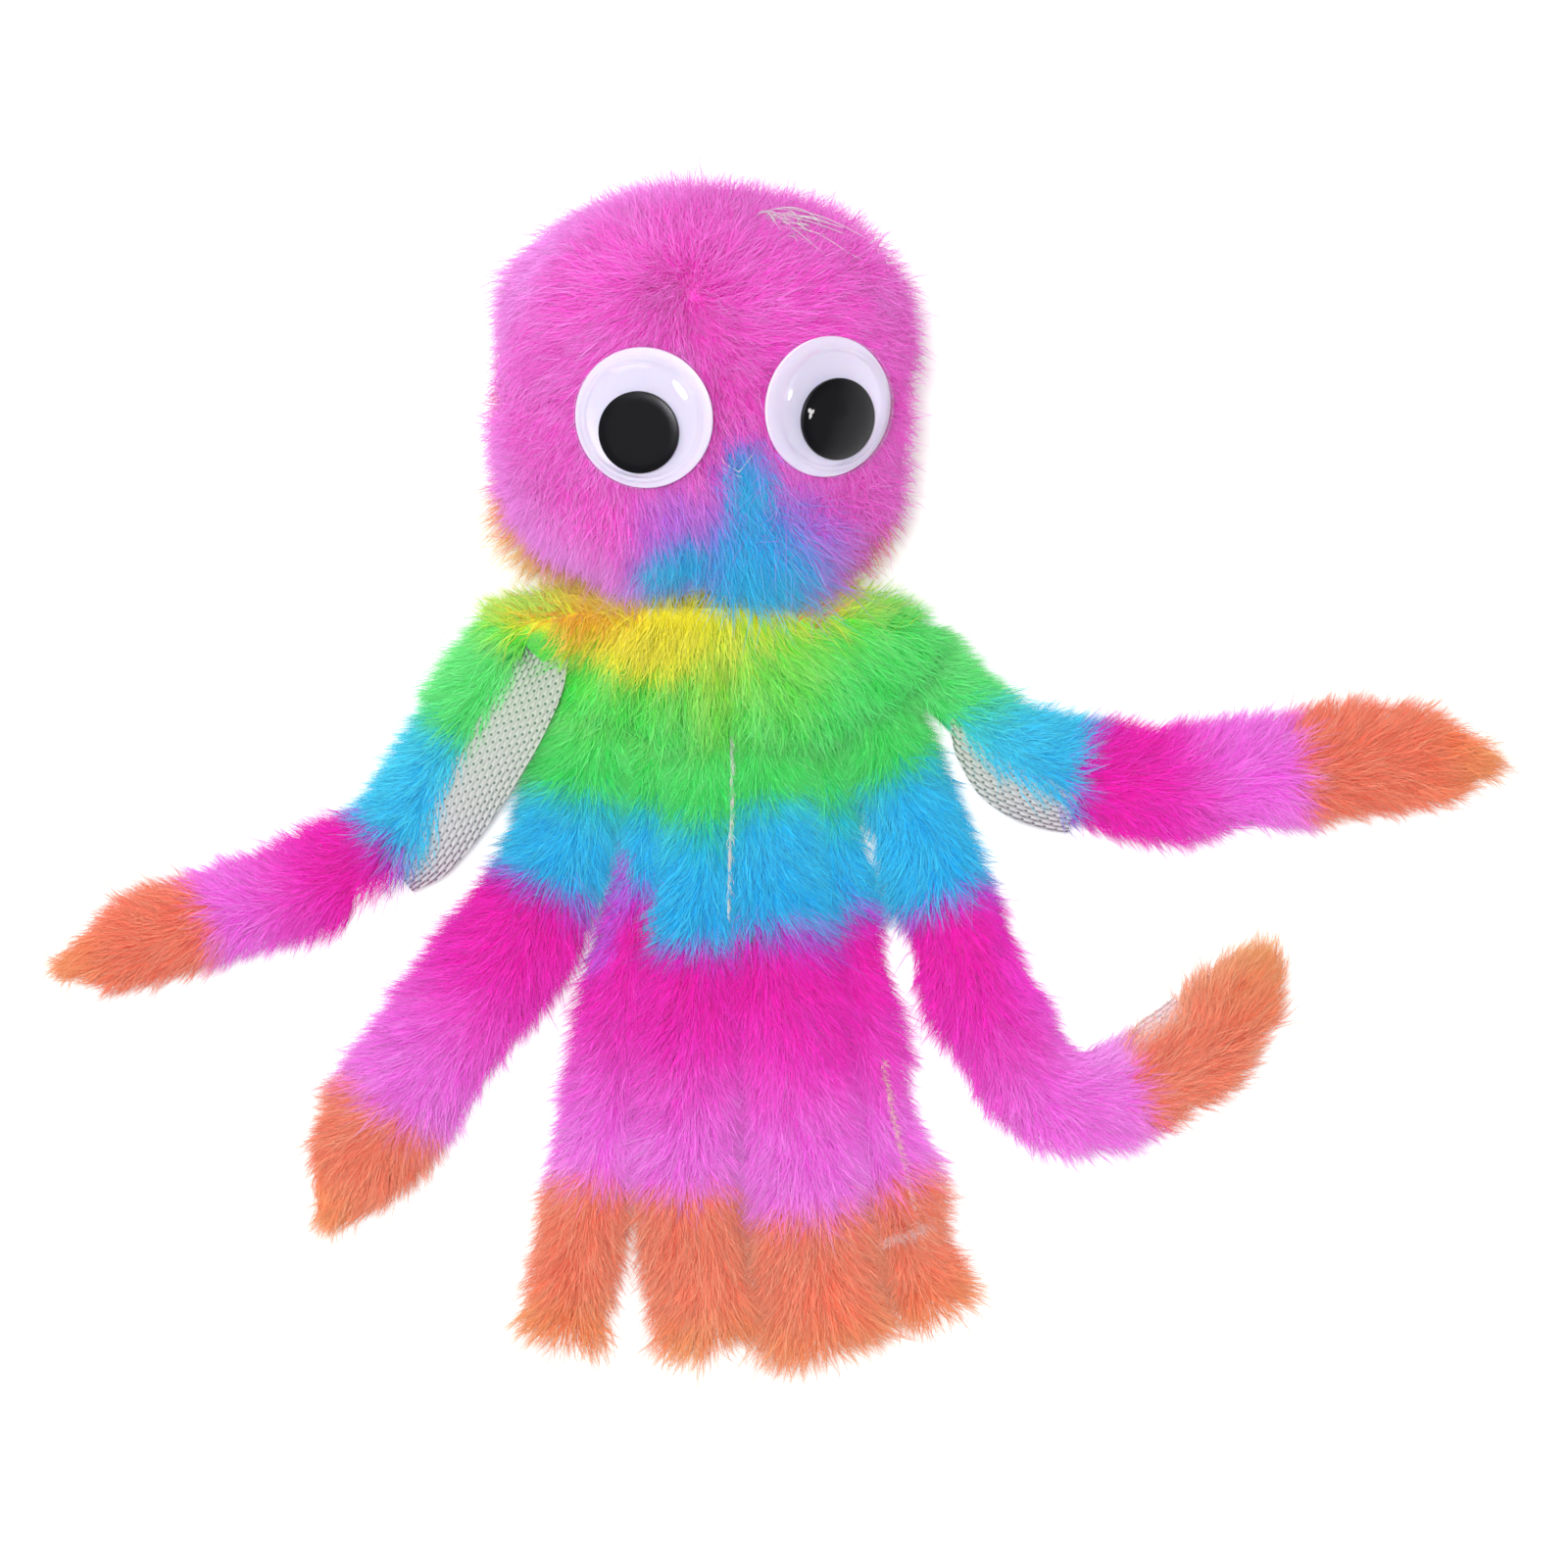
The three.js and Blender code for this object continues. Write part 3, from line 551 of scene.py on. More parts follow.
# Each band of pile: from and to which height, its number of hairs and their length in mm.
bands = (
    (0.72, 1.0, 19500, 6.6),
    (0.44, 0.72, 20500, 6.8),
    (0.2, 0.44, 19500, 7.0),
    (-0.04, 0.2, 18500, 7.4),
    (-0.36, -0.04, 15500, 7.4),
    (-1.0, -0.36, 14500, 6.4),
)
for number, (low, high, count, length) in enumerate(bands):
    grown = head_pile(low, high, int(count * density), 20 + number, length * mm)
    if number == 0:
        points, faces, chart = with_skin(skin, skin_quads, skin_tone, grown)
        cover = piece("head_cover_skin", points, faces, chart, face_pile, "head", len(skin_quads))
        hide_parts("head_cover")
    else:
        points, quads, tips, quad_chart, tip_chart = grown
        chart = np.concatenate([quad_chart, tip_chart])
        band = piece(f"head_pile_{number}", points, [quads, tips], chart, face_pile, "head", 0)

# Head stuffing
# A ball of white polyester fibre that fills the head cover tightly. It is pushed in through the
# neck before that is tied off, and never shows.

stuffing_inset = 5.75 * mm


def speckled(name, scale, detail, rough, depth, dark, light):
    """A material whose colour, roughness and fine relief all follow one noise."""
    made, nodes, links, shader = new_material(name)
    noise = node(nodes, "ShaderNodeTexNoise", Scale=scale, Detail=detail)
    links.new(remap(nodes, links, noise.outputs["Fac"], 0, 1, *rough), shader.inputs["Roughness"])
    relief = node(nodes, "ShaderNodeBump", Strength=0.5, Distance=depth)
    links.new(noise.outputs["Fac"], relief.inputs["Height"])
    links.new(relief.outputs["Normal"], shader.inputs["Normal"])
    colour = ramp(nodes, links, noise.outputs["Fac"], [(0, dark), (1, light)])
    links.new(colour, shader.inputs["Base Color"])
    return made, shader


fibre_colours = linear(225, 225, 222), linear(246, 246, 243)
fibre_material, _ = speckled("polyester fibre", 500, 4, (0.8, 0.98), 0.6 * mm, *fibre_colours)
fibre_points, fibre_normals = head_point(ball, stuffing_inset)
fibre_points += fibre_normals * (0.3 * mm + 0.25 * mm * drift(fibre_points, 2.5 * mm, 8)[:, :1])
stuffing = piece("head_stuffing_fibre", fibre_points, [skin_quads], None, fibre_material, "head")
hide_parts("head_stuffing")

# Neck tie
# A strong white thread, wound round the gathered neck three times and knotted under the back.

tie_radius, tie_height, tie_start, tie_width, tie_turns = 7.95, 17, -28.75, 1.45, 3.2
tie_thickness, ply_offset, ply_twist = 0.32 * mm, 0.22 * mm, 22

thread_colours = linear(214, 214, 210), linear(240, 240, 237)
thread_material, _ = speckled("white thread", 1500, 3, (0.6, 0.85), 0.1 * mm, *thread_colours)


def strand(path, radius, sides=8):
    """A round thread along a path, as points and quads, its ends drawn to points."""
    along = unit(np.gradient(path, axis=0))
    side = unit(np.cross(along, [0.31, 0.2, 0.93]))
    up = np.cross(along, side)
    angle = np.arange(sides) * 2 * np.pi / sides
    taper = np.clip(1 - np.linspace(-1, 1, len(path)) ** 16, 0.02, 1)
    thick = radius * np.sqrt(taper)[:, None, None]
    ring = side[:, None] * np.cos(angle)[None, :, None] + up[:, None] * np.sin(angle)[None, :, None]
    points = (path[:, None] + thick * ring).reshape(-1, 3)
    return points, ring_quads(len(path), sides)


def strands(name, paths, radius, material, body):
    """Several threads as one piece."""
    points, quads, shift = [], [], 0
    for path in paths:
        here, faces = strand(np.array(path), radius)
        points.append(here)
        quads.append(faces + shift)
        shift += len(here)
    return piece(name, np.concatenate(points), [np.concatenate(quads)], None, material, body)


turns = np.linspace(0, tie_turns * 2 * np.pi, 260)
forward = tie_start + tie_width * turns / turns[-1]
wound = [tie_radius * np.cos(turns), forward, tie_height + tie_radius * np.sin(turns)]
wound = np.stack(wound, 1) * mm
plies = []
for turn in (0, np.pi):
    twist = turns * ply_twist + turn
    plies.append(wound + ply_offset * np.stack([np.cos(twist), np.sin(twist), 0 * turns], 1))
tie = strands("neck_tie_thread", plies, tie_thickness, thread_material, "head")
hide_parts("neck_tie")

# Legs
# Eight strips of the same cloth, cut from the skirt and curled in along their edges with the pile
# outside. Their dye runs from green through blue and magenta to coral. Each is built in three
# stretches.

leg_reach, skirt_half_width, skirt_length = 90 * mm, 38 * mm, 26 * mm
skirt_start = -30.45 * mm
leg_half_height = 4.5 * mm
leg_steps = 400
cloth_inset, floor_gap = 1.0 * mm, 0.6 * mm
closing_start, closing_length = 6.5 * mm, 3.6 * mm
ring_step, cloth_sides, pile_wrap = 1.5 * mm, 20, 0.45
leg_hair_length, leg_hair_radius = 7.2 * mm, 0.066 * mm
hairs_per_area = 13e6
seam_reach, root_overlap, end_margin = 3.5 * mm, 3 * mm, 3 * mm
width_shares = (
    [0, 0.2, 0.42, 0.6, 0.78, 0.9, 0.97, 1],
    [0.7, 0.79, 0.96, 1, 0.98, 0.88, 0.68, 0.45],
)
height_shares = (
    [0, 0.14, 0.3, 0.75, 0.9, 0.97, 1],
    [0.93, 0.96, 1, 0.98, 0.86, 0.62, 0.4],
)

# Each leg: its width and height, its root, its two seams and where its blue begins, all as shares,
# how far its pile is combed to one side, and its route in shares of the reach.
legs = [
    (
        0.221, 1, (-0.737, 0.233), 0.385, 0.741, 0.16, -0.55,
        [(-0.111, 0.172), (-0.2, 0.322), (-0.349, 0.404),
         (-0.5, 0.453), (-0.73, 0.528)],
    ),
    (
        0.326, 1, (-0.418, 0.637), 0.284, 0.758, 0.11, -0.35,
        [(-0.022, 0.122), (-0.068, 0.261), (-0.173, 0.433),
         (-0.309, 0.609), (-0.434, 0.817)],
    ),
    (
        0.211, 0.8, (-0.189, 0.725), 0.256, 0.729, 0.1, -0.45,
        [(-0.002, 0.108), (-0.016, 0.241), (-0.041, 0.408), (-0.063, 0.563),
         (-0.093, 0.719), (-0.124, 0.863), (-0.144, 0.986)],
    ),
    (
        0.3, 1, (0.005, 0.752), 0.311, 0.721, 0.12, -0.4,
        [(-0.001, 0.1), (-0.008, 0.244), (-0.017, 0.4), (-0.029, 0.556),
         (-0.033, 0.711), (-0.009, 0.856), (0.024, 0.994)],
    ),
    (
        0.353, 1, (0.253, 0.744), 0.292, 0.744, 0.085, 0.5,
        [(0, 0.102), (0.006, 0.247), (0.018, 0.402), (0.037, 0.558),
         (0.06, 0.713), (0.079, 0.858), (0.093, 1.002)],
    ),
    (
        0.184, 0.62, (0.461, 0.698), 0.293, 0.756, 0.1, 0.45,
        [(0.008, 0.116), (0.021, 0.26), (0.046, 0.416), (0.071, 0.571),
         (0.104, 0.727), (0.143, 0.86), (0.19, 0.96)],
    ),
    (
        0.274, 1, (0.637, 0.552), 0.275, 0.73, 0.08, -0.1,
        [(0.062, 0.147), (0.124, 0.313), (0.2, 0.513), (0.309, 0.642),
         (0.431, 0.631), (0.542, 0.569), (0.65, 0.433)],
    ),
    (
        0.279, 1, (0.805, 0.344), 0.314, 0.672, 0.11, 0.45,
        [(0.116, 0.109), (0.253, 0.179), (0.416, 0.201),
         (0.593, 0.179), (0.771, 0.16), (0.927, 0.166)],
    ),
]

leg_pile = pile_material(
    "leg pile",
    [
        (0.00, (255, 110, 50), (255, 180, 115)),
        (0.04, (255, 170, 40), (255, 215, 120)),
        (0.09, (255, 238, 25), (255, 252, 115)),
        (0.14, (240, 246, 30), (250, 255, 120)),
        (0.20, (118, 242, 52), (195, 255, 150)),
        (0.27, (45, 242, 84), (158, 255, 170)),
        (0.35, (12, 226, 88), (130, 255, 165)),
        (0.37, (0, 200, 215), (100, 240, 245)),
        (0.40, (0, 192, 255), (100, 240, 255)),
        (0.49, (0, 180, 255), (88, 232, 255)),
        (0.51, (185, 20, 210), (220, 115, 250)),
        (0.53, (255, 0, 182), (255, 48, 222)),
        (0.62, (255, 0, 198), (255, 92, 238)),
        (0.72, (255, 70, 235), (255, 170, 252)),
        (0.79, (255, 92, 240), (255, 185, 252)),
        (0.81, (255, 102, 82), (255, 190, 158)),
        (0.92, (255, 106, 76), (255, 192, 155)),
        (1.00, (255, 126, 66), (255, 212, 140)),
    ],
    300,
)


def route(points):
    """A smooth curve through points on the table, as many small steps of equal length."""
    p = np.array(points)
    p = np.vstack([2 * p[0] - p[1], p, 2 * p[-1] - p[-2]])
    found = []
    for k in range(1, len(p) - 2):
        gaps = np.linalg.norm(np.diff(p[k - 1 : k + 3], axis=0), axis=1)
        knots = np.concatenate([[0], np.cumsum(gaps**0.5)])
        t = np.linspace(knots[1], knots[2], 60, endpoint=k == len(p) - 3)[:, None]

        def between(n, m, low, high):
            return ((knots[m] - t) * low + (t - knots[n]) * high) / (knots[m] - knots[n])

        first = [between(n, n + 1, p[k - 1 + n], p[k + n]) for n in range(3)]
        second = [between(n, n + 2, first[n], first[n + 1]) for n in range(2)]
        found.append(between(1, 2, second[0], second[1]))
    line = np.vstack(found)
    gone = np.concatenate([[0], np.cumsum(np.linalg.norm(np.diff(line, axis=0), axis=1))])
    even = np.linspace(0, gone[-1], leg_steps)
    line = np.stack([np.interp(even, gone, line[:, 0]), np.interp(even, gone, line[:, 1])], 1)
    return line, gone[-1]


class Leg:
    """A strip of cloth along its route: its places, sizes and dye at distances from its root."""

    def __init__(self, number, width, height, root, seam_1, seam_2, blue, fan, beyond):
        start = np.array([skirt_half_width * root[0], skirt_start - skirt_length * root[1]])
        ways = [start + leg_reach * np.array([right, -down]) for right, down in beyond]
        self.line, self.length = route([start] + ways)
        self.number, self.fan = number, fan
        self.half = skirt_half_width * width / 2
        self.tall = leg_half_height * height
        self.seams = (seam_1 * self.length, seam_2 * self.length)
        self.blue = blue * self.length
        self.tangents = unit(np.gradient(self.line, self.length / (leg_steps - 1), axis=0))

    def at(self, distance):
        """Places on the table and directions along the leg, also a little before its root."""
        share = np.clip(distance / self.length, 0, 1) * (leg_steps - 1)
        low = np.clip(share.astype(int), 0, leg_steps - 2)
        part = (share - low)[:, None]
        spot = self.line[low] * (1 - part) + self.line[low + 1] * part
        along = unit(self.tangents[low] * (1 - part) + self.tangents[low + 1] * part)
        return spot + along * np.minimum(distance, 0)[:, None], along

    def sizes(self, distance, inset):
        """Half the width and the height of the curled cloth, which closes at the leg's end."""
        share = np.clip(distance / self.length, 0, 1)
        wide = self.half * np.interp(share, *width_shares) - inset
        high = self.tall * np.interp(share, *height_shares) - inset
        past = ((distance - self.length + closing_start) / closing_length).clip(0, 1)
        closing = 0.12 + 0.88 * np.sqrt(1 - past**2)
        return wide * closing, high * closing

    def skin(self, distance, angle, inset=cloth_inset):
        """Points on the curled cloth, and their outward, forward and sideways directions."""
        spot, along = self.at(distance)
        wide, high = self.sizes(distance, inset)
        across = np.stack([-along[:, 1], along[:, 0]], 1)
        points = np.zeros((len(distance), 3))
        points[:, :2] = spot + across * (wide * np.cos(angle))[:, None]
        points[:, 2] = high + floor_gap + high * np.sin(angle)
        normals, forward, sideways = np.zeros((3, len(distance), 3))
        normals[:, :2] = across * (np.cos(angle) / wide)[:, None]
        normals[:, 2] = np.sin(angle) / high
        forward[:, :2] = along
        sideways[:, :2] = across
        return points, unit(normals), forward, sideways

    def tone(self, distance):
        """Where on the chart the pile lies at a distance along the leg."""
        marks = [-25 * mm, 0, self.blue, self.seams[0], self.seams[1], self.length]
        return np.interp(distance, marks, [0.1, 0.27, 0.36, 0.5, 0.8, 1.0])

    def seam_span(self, seam):
        """From where to where the cloth bends about a seam."""
        spot, along = self.at(np.array([seam]))
        turn = np.array([*spot[0], leg_half_height])
        reach = np.array([*along[0], 0]) * seam_reach
        return turn - reach, turn + reach


# Where no pile hides the knitted backing: the leg, from and to along it, from and to round it.
bare = [
    (1, -1 * mm, 42 * mm, -0.5, 0.7),
    (8, 2 * mm, 27 * mm, np.pi - 0.95, np.pi + 0.5),
    (7, 82 * mm, 92 * mm, -0.1, 0.5),
]
# The strips of backing that show there: the leg, where round it the strip joins, and places on the
# strip's middle line with its height and width, in mm.
strips = [
    (1, 1.0, [
        (-21.4, -34.3, 12.2, 5.0), (-23.4, -42.9, 10.4, 6.3), (-27.6, -51.4, 8.2, 6.4),
        (-33.7, -62.1, 6.6, 5.0), (-38.7, -69.4, 5.6, 3.2), (-43, -72.6, 4.6, 1),
    ]),
    (8, np.pi - 1.2, [
        (36.8, -47.6, 7, 1.2), (39, -51.6, 7, 4.4), (42.6, -57, 6.8, 5.6),
        (47.2, -60.6, 5.8, 4.6), (51.2, -62.8, 5, 2.4), (54, -63.9, 4.4, 0.8),
    ]),
    (7, 0.6, [(62.6, -97.9, 4.6, 1.2), (66.0, -93.6, 5.0, 4.4), (70.0, -89.0, 5.0, 1.4)]),
]
# The backing has staggered holes in rows along the leg, with the yarn raised between the rows. It
# is white, tinted a little by the dye: greenish by the root, lilac half way and pink by the tip.
stitch_size = 1.6 * mm
backing_step, backing_columns, backing_margin, backing_gap = 1.2 * mm, 9, 0.6, 0.28 * mm
strip_rows, strip_columns, strip_crown = 60, 9, 0.9 * mm
tint_places = (0.12, 0.36, 0.72)
yarn_tints = ((204, 212, 199), (212, 207, 214), (238, 214, 216))
# The holes are darker in the same tints: painted shade in the stitch holes, tinted by the dyed pile
# that shows through them.
hole_shade_tints = ((92, 126, 102), (128, 118, 134), (214, 158, 154))

knit, nodes, links, shader = new_material("knitted backing", 0.85)
chart = node(nodes, "ShaderNodeUVMap", uv_map="stitches")
split = nodes.new("ShaderNodeSeparateXYZ")
links.new(chart.outputs["UV"], split.inputs[0])
waves = []
for end in ("X", "Y"):
    angle = worked_out(nodes, links, "MULTIPLY", split.outputs[end], 2 * np.pi)
    waves.append(worked_out(nodes, links, "SINE", angle))
stitch = worked_out(nodes, links, "MULTIPLY", *waves)
hole = remap(nodes, links, stitch, 0.4, 0.9, 0, 1)
down_leg = remap(nodes, links, split.outputs["Y"], 0, 60, 0, 1)
# The second ramp is the painted shade in the stitch holes.
yarn, gap = (
    ramp(nodes, links, down_leg, [(at, linear(*tint)) for at, tint in zip(tint_places, tints)])
    for tints in (yarn_tints, hole_shade_tints)
)
links.new(mix(nodes, links, "RGBA", hole, yarn, gap), shader.inputs["Base Color"])
links.new(remap(nodes, links, hole, 0, 1, 0.8, 0.95), shader.inputs["Roughness"])
lines = worked_out(nodes, links, "ABSOLUTE", waves[0])
ribs = worked_out(nodes, links, "MULTIPLY_ADD", stitch, -0.6, lines)
raised = node(nodes, "ShaderNodeBump", Strength=0.8, Distance=0.35 * mm)
links.new(ribs, raised.inputs["Height"])
links.new(raised.outputs["Normal"], shader.inputs["Normal"])
shader.inputs["Specular IOR Level"].default_value = 0.2


def knit_sheet(name, grids, starts):
    """A sheet of the knitted backing from grids of points, each from its start along the leg."""
    points, quads, chart, shift, area = [], [], [], 0, 0
    for grid, first in zip(grids, starts):
        rows, columns = grid.shape[:2]
        i, j = np.meshgrid(np.arange(rows - 1), np.arange(columns - 1), indexing="ij")
        corner = i * columns + j
        here = np.stack([corner, corner + 1, corner + columns + 1, corner + columns], 2)
        here = here.reshape(-1, 4)
        flat = grid.reshape(-1, 3)
        across = np.linalg.norm(np.diff(grid, axis=1), axis=2).cumsum(1)
        across = np.concatenate([np.zeros((rows, 1)), across], 1)
        along = np.linalg.norm(np.diff(grid[:, columns // 2], axis=0), axis=1).cumsum()
        along = first + np.concatenate([[0], along])
        place = np.stack([across, np.repeat(along[:, None], columns, 1)], 2)
        place = place.reshape(-1, 2) / stitch_size
        points.append(flat)
        quads.append(here + shift)
        chart.append(place[here].reshape(-1, 2))
        shift += len(flat)
        one, two = flat[here[:, 2]] - flat[here[:, 0]], flat[here[:, 3]] - flat[here[:, 1]]
        area += np.linalg.norm(np.cross(one, two), axis=1).sum() / 2
    points, quads, chart = (np.concatenate(part) for part in (points, quads, chart))
    made = piece(name, points, [quads], chart, knit, chart_name="stitches")
    return made


def spaced(points, count):
    """Points along a line, the same number on each stretch between the given ones."""
    share, places = np.linspace(0, 1, count), np.linspace(0, 1, len(points))
    return np.stack([np.interp(share, places, column) for column in points.T], 1)


def leg_backing(leg, name, start, stop):
    """The backing on the open underside of a stretch of a leg, and the part of a strip on it."""
    stop_under = min(stop, leg.length - 5 * mm)
    rows, columns = int((stop_under - start) / backing_step), backing_columns
    distance = np.repeat(np.linspace(start, stop_under, rows), columns)
    angle = np.linspace(np.pi + backing_margin, 2 * np.pi - backing_margin, columns)
    angle = np.tile(angle, rows)
    if stop_under < stop:
        narrowed = np.sqrt(np.clip((stop_under - distance) / (7 * mm), 0.05, 1))
        angle = 1.5 * np.pi + (angle - 1.5 * np.pi) * narrowed
    under, _, _, _ = leg.skin(distance, angle)
    grids, starts = [under.reshape(rows, columns, 3) - [0, 0, backing_gap]], [start]
    for number, join, line in strips:
        if number != leg.number:
            continue
        middle = spaced(np.array(line) * mm, strip_rows)
        for _ in range(12):
            middle[1:-1] = (middle[:-2] + 2 * middle[1:-1] + middle[2:]) / 4
        beside = (middle[:, None, :2] - leg.line[None]) ** 2
        at = beside.sum(2).argmin(1) / (leg_steps - 1) * leg.length
        inside = (at >= start) & (at <= stop) if start > 0 else at <= stop
        if inside.sum() < 4:
            continue
        last_row = min(inside.nonzero()[0].max() + 1, strip_rows - 1)
        inside[last_row] = True
        part = middle[inside]
        along = unit(np.gradient(part[:, :2], axis=0))
        across = np.stack([-along[:, 1], along[:, 0]], 1)
        inner, _, _, _ = leg.skin(at[inside], np.full(len(part), join), 0.8 * mm)
        away = np.sign(np.sum(across * (part[:, :2] - inner[:, :2]), axis=1))
        outer = part[:, :3].copy()
        outer[:, :2] += across * (away * part[:, 3] / 2)[:, None]
        spread = np.linspace(0, 1, strip_columns)[None, :, None]
        grid = inner[:, None] * (1 - spread) + outer[:, None] * spread
        grid[..., 2] += (spread * (1 - spread) * 4 * strip_crown)[..., 0]
        grids.append(grid)
        starts.append(at[inside][0])
    return knit_sheet(name, grids, starts)


def leg_piece(leg, name, start, stop, count, seed):
    """A stretch of a leg with its pile, which lies along the leg and fans out at its sides."""
    random = np.random.default_rng(seed)
    rings = max(6, int((stop - start) / ring_step))
    distance = np.repeat(np.linspace(start, stop, rings + 1), cloth_sides)
    angle = np.tile(np.arange(cloth_sides) * 2 * np.pi / cloth_sides, rings + 1)
    skin, _, _, _ = leg.skin(distance, angle)
    quads = ring_quads(rings + 1, cloth_sides)
    at = random.uniform(start, stop, count)
    around = random.uniform(-pile_wrap, np.pi + pile_wrap, count)
    for number, bare_start, bare_stop, low, high in bare:
        if number == leg.number:
            clear = (at > bare_start) & (at < bare_stop) & (around > low) & (around < high)
            at, around = at[~clear], around[~clear]
    count = len(at)
    roots, normals, forward, sideways = leg.skin(at, around)
    waves = drift(roots, 4.5 * mm, 40 + leg.number)
    last_part = 0
    if leg.number in (1, 2, 7, 8):
        last_part = smooth(at, leg.length - 16 * mm, leg.length - 2 * mm)
    fan = leg.fan * (0.55 + 0.45 * np.cos(around) * np.sign(leg.fan)) * (1 - last_part)
    aside = 0.62 * np.cos(around) * (1 - 2.1 * last_part) + fan + 0.3 * waves[:, 1]
    comb = forward + aside[:, None] * sideways + 0.2 * random.normal(size=(count, 3))
    lift = 0.42 + 0.16 * waves[:, 2:]
    first = unit(comb * 0.95 + normals * (lift + 0.15))
    last = unit(comb * 1.3 + normals * (lift - 0.5))
    lengths = leg_hair_length * random.uniform(0.7, 1.1, count) * (1 + 0.16 * waves[:, 0])
    ragged = drift(roots, 1.6 * mm, 60 + leg.number)[:, 0]
    lengths *= 1 + smooth(at, leg.length - 13 * mm, leg.length - 4 * mm) * (0.15 + 0.4 * ragged)
    tone = leg.tone(at + 1.3 * mm * waves[:, 1] + 0.5 * mm * random.normal(size=count))
    tone += random.normal(size=count) * 0.004
    radius = leg_hair_radius * random.uniform(0.7, 1.25, count)
    if leg.number in (1, 8):
        paler = 0.75 * smooth(leg.seams[0] - at, 0, 3 * mm)
    else:
        paler = 0.25 * smooth(at, leg.seams[0] + 8 * mm, leg.seams[1])
    if leg.number == 3:
        faded = smooth(around, 1.7, 2.3)
        faded = faded * smooth(at, 12 * mm, 17 * mm) * smooth(40 * mm - at, 0, 8 * mm)
        tone += (0.511 - tone) * faded * (random.uniform(0, 1, count) < 0.7)
        paler = paler + 1.3 * faded
    if leg.number == 7:
        right_side = smooth(1.1 - around, 0, 0.5)
        paler = paler + 1.2 * right_side * smooth(at, leg.seams[0], leg.seams[0] + 6 * mm)
    grown = hairs(roots, first, last, lengths, radius, tone, random, 0.6, 9, paler)
    points, faces, chart = with_skin(skin, quads, leg.tone(distance), grown)
    return piece(name, points, faces, chart, leg_pile, None, len(quads))


made_legs = [Leg(n + 1, *values) for n, values in enumerate(legs)]
for leg in made_legs:
    n = leg.number
    upper, middle, tip = f"leg_{n}_upper", f"leg_{n}_middle", f"leg_{n}_tip"
    cuts = [-root_overlap, leg.seams[0] / 2, sum(leg.seams) / 2, leg.length - end_margin]
    ends = ((0.0, "skirt", upper), (leg.seams[0], upper, middle), (leg.seams[1], middle, tip))
    for k, (seam, before, after) in enumerate(ends):
        start, stop = cuts[k], cuts[k + 1]
        count = int(hairs_per_area * ((stop - start) * leg.half * 3.6) * density)
        stretch = leg_piece(leg, f"leg_{n}_cloth_{k + 1}", start, stop, count, 100 * n + k)
        span = leg.seam_span(seam)
        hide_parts(after)
        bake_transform(stretch)
        backing = leg_backing(leg, f"leg_{n}_backing_{k + 1}", start, stop)
        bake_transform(backing)

# Skirt
# The uncut part of the cloth below the neck, gathered at the top and opening into the legs. Its
# pile runs down from orange and yellow beside the neck to green, and stands up round the tied neck.

skirt_middle = 18 * mm
skirt_inset, skirt_voxel = 0.9 * mm, 1.1 * mm
fold_depth = 7.2 * mm
skirt_hairs, skirt_hair_length, skirt_hair_radius = 20000, 7.4 * mm, 0.071 * mm


# Patches of dye by the neck, olive, yellow, orange and red: each one's place on the chart, its
# centre, half-widths in mm, and softness of edge.
skirt_patches = (
    (0.15, ((14, -30), (13, 3.5), 0.5)),
    (0.1, ((-7.5, -31), (8, 7.5), 0.35)),
    (0.05, ((-19, -29), (10, 6), 0.4)),
    (0.01, ((22, -29), (5, 2.5), 0.5)),
)


def bearing(points):
    """The direction of each point from the middle of the skirt, from straight down."""
    return np.arctan2(points[:, 0], -(points[:, 1] + skirt_middle))


leg_bearings = bearing(np.array([leg.line[0] for leg in made_legs]))


def on_ridges(points, width):
    """How near each point is to one of the ridges that run from the neck to the legs."""
    return np.exp(-(((bearing(points)[:, None] - leg_bearings[None]) / width) ** 2)).sum(1)


random = np.random.default_rng(3)
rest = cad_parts["leg_skirt"].data
skirt = bpy.data.objects.new("skirt_form", rest.copy())
bpy.context.scene.collection.objects.link(skirt)
remesh = skirt.modifiers.new("remesh", "REMESH")
remesh.mode, remesh.voxel_size = "VOXEL", skirt_voxel
soften = skirt.modifiers.new("soften", "SMOOTH")
soften.factor, soften.iterations = 0.6, 8
bpy.context.view_layer.update()
formed = skirt.evaluated_get(bpy.context.evaluated_depsgraph_get())
formed = bpy.data.meshes.new_from_object(formed)
bpy.data.objects.remove(skirt)
points = np.zeros(len(formed.vertices) * 3)
formed.vertices.foreach_get("co", points)
points = points.reshape(-1, 3)
normals = np.array([v.normal for v in formed.vertices])
quads = np.array([list(p.vertices) for p in formed.polygons if len(p.vertices) == 4])
points = points - normals * skirt_inset
ridge = on_ridges(points, 0.13)
outer = smooth(np.hypot(points[:, 0], points[:, 1] + 25 * mm), 8 * mm, 18 * mm)
points[:, 2] += np.where(points[:, 2] > 3 * mm, (ridge - 0.85) * outer * fold_depth, 0)
points[:, 2] = np.maximum(points[:, 2], 0.3 * mm)


def skirt_tone(spot, random):
    """Where on the chart the skirt's pile lies at each point."""
    x, y = spot[:, 0] / mm, spot[:, 1] / mm
    down = np.hypot((x - 2) * 0.6, y + 22)
    tone = np.interp(down, [8, 10.5, 13, 19, 27, 34], [0.13, 0.15, 0.19, 0.22, 0.27, 0.33])
    tone = tone + 0.05 * smooth(x, 12, 22) - 0.03 * smooth(6 - abs(x - 2), 0, 5)
    for place, patch in skirt_patches:
        tone = tone + (place - tone) * spot_on(x, y, *patch)
    return tone + random.normal(size=len(tone)) * 0.008


def strewn(direction, spread):
    """A direction for each of the skirt's hairs, with some spread."""
    return unit(direction + spread * random.normal(size=(amount, 3)))


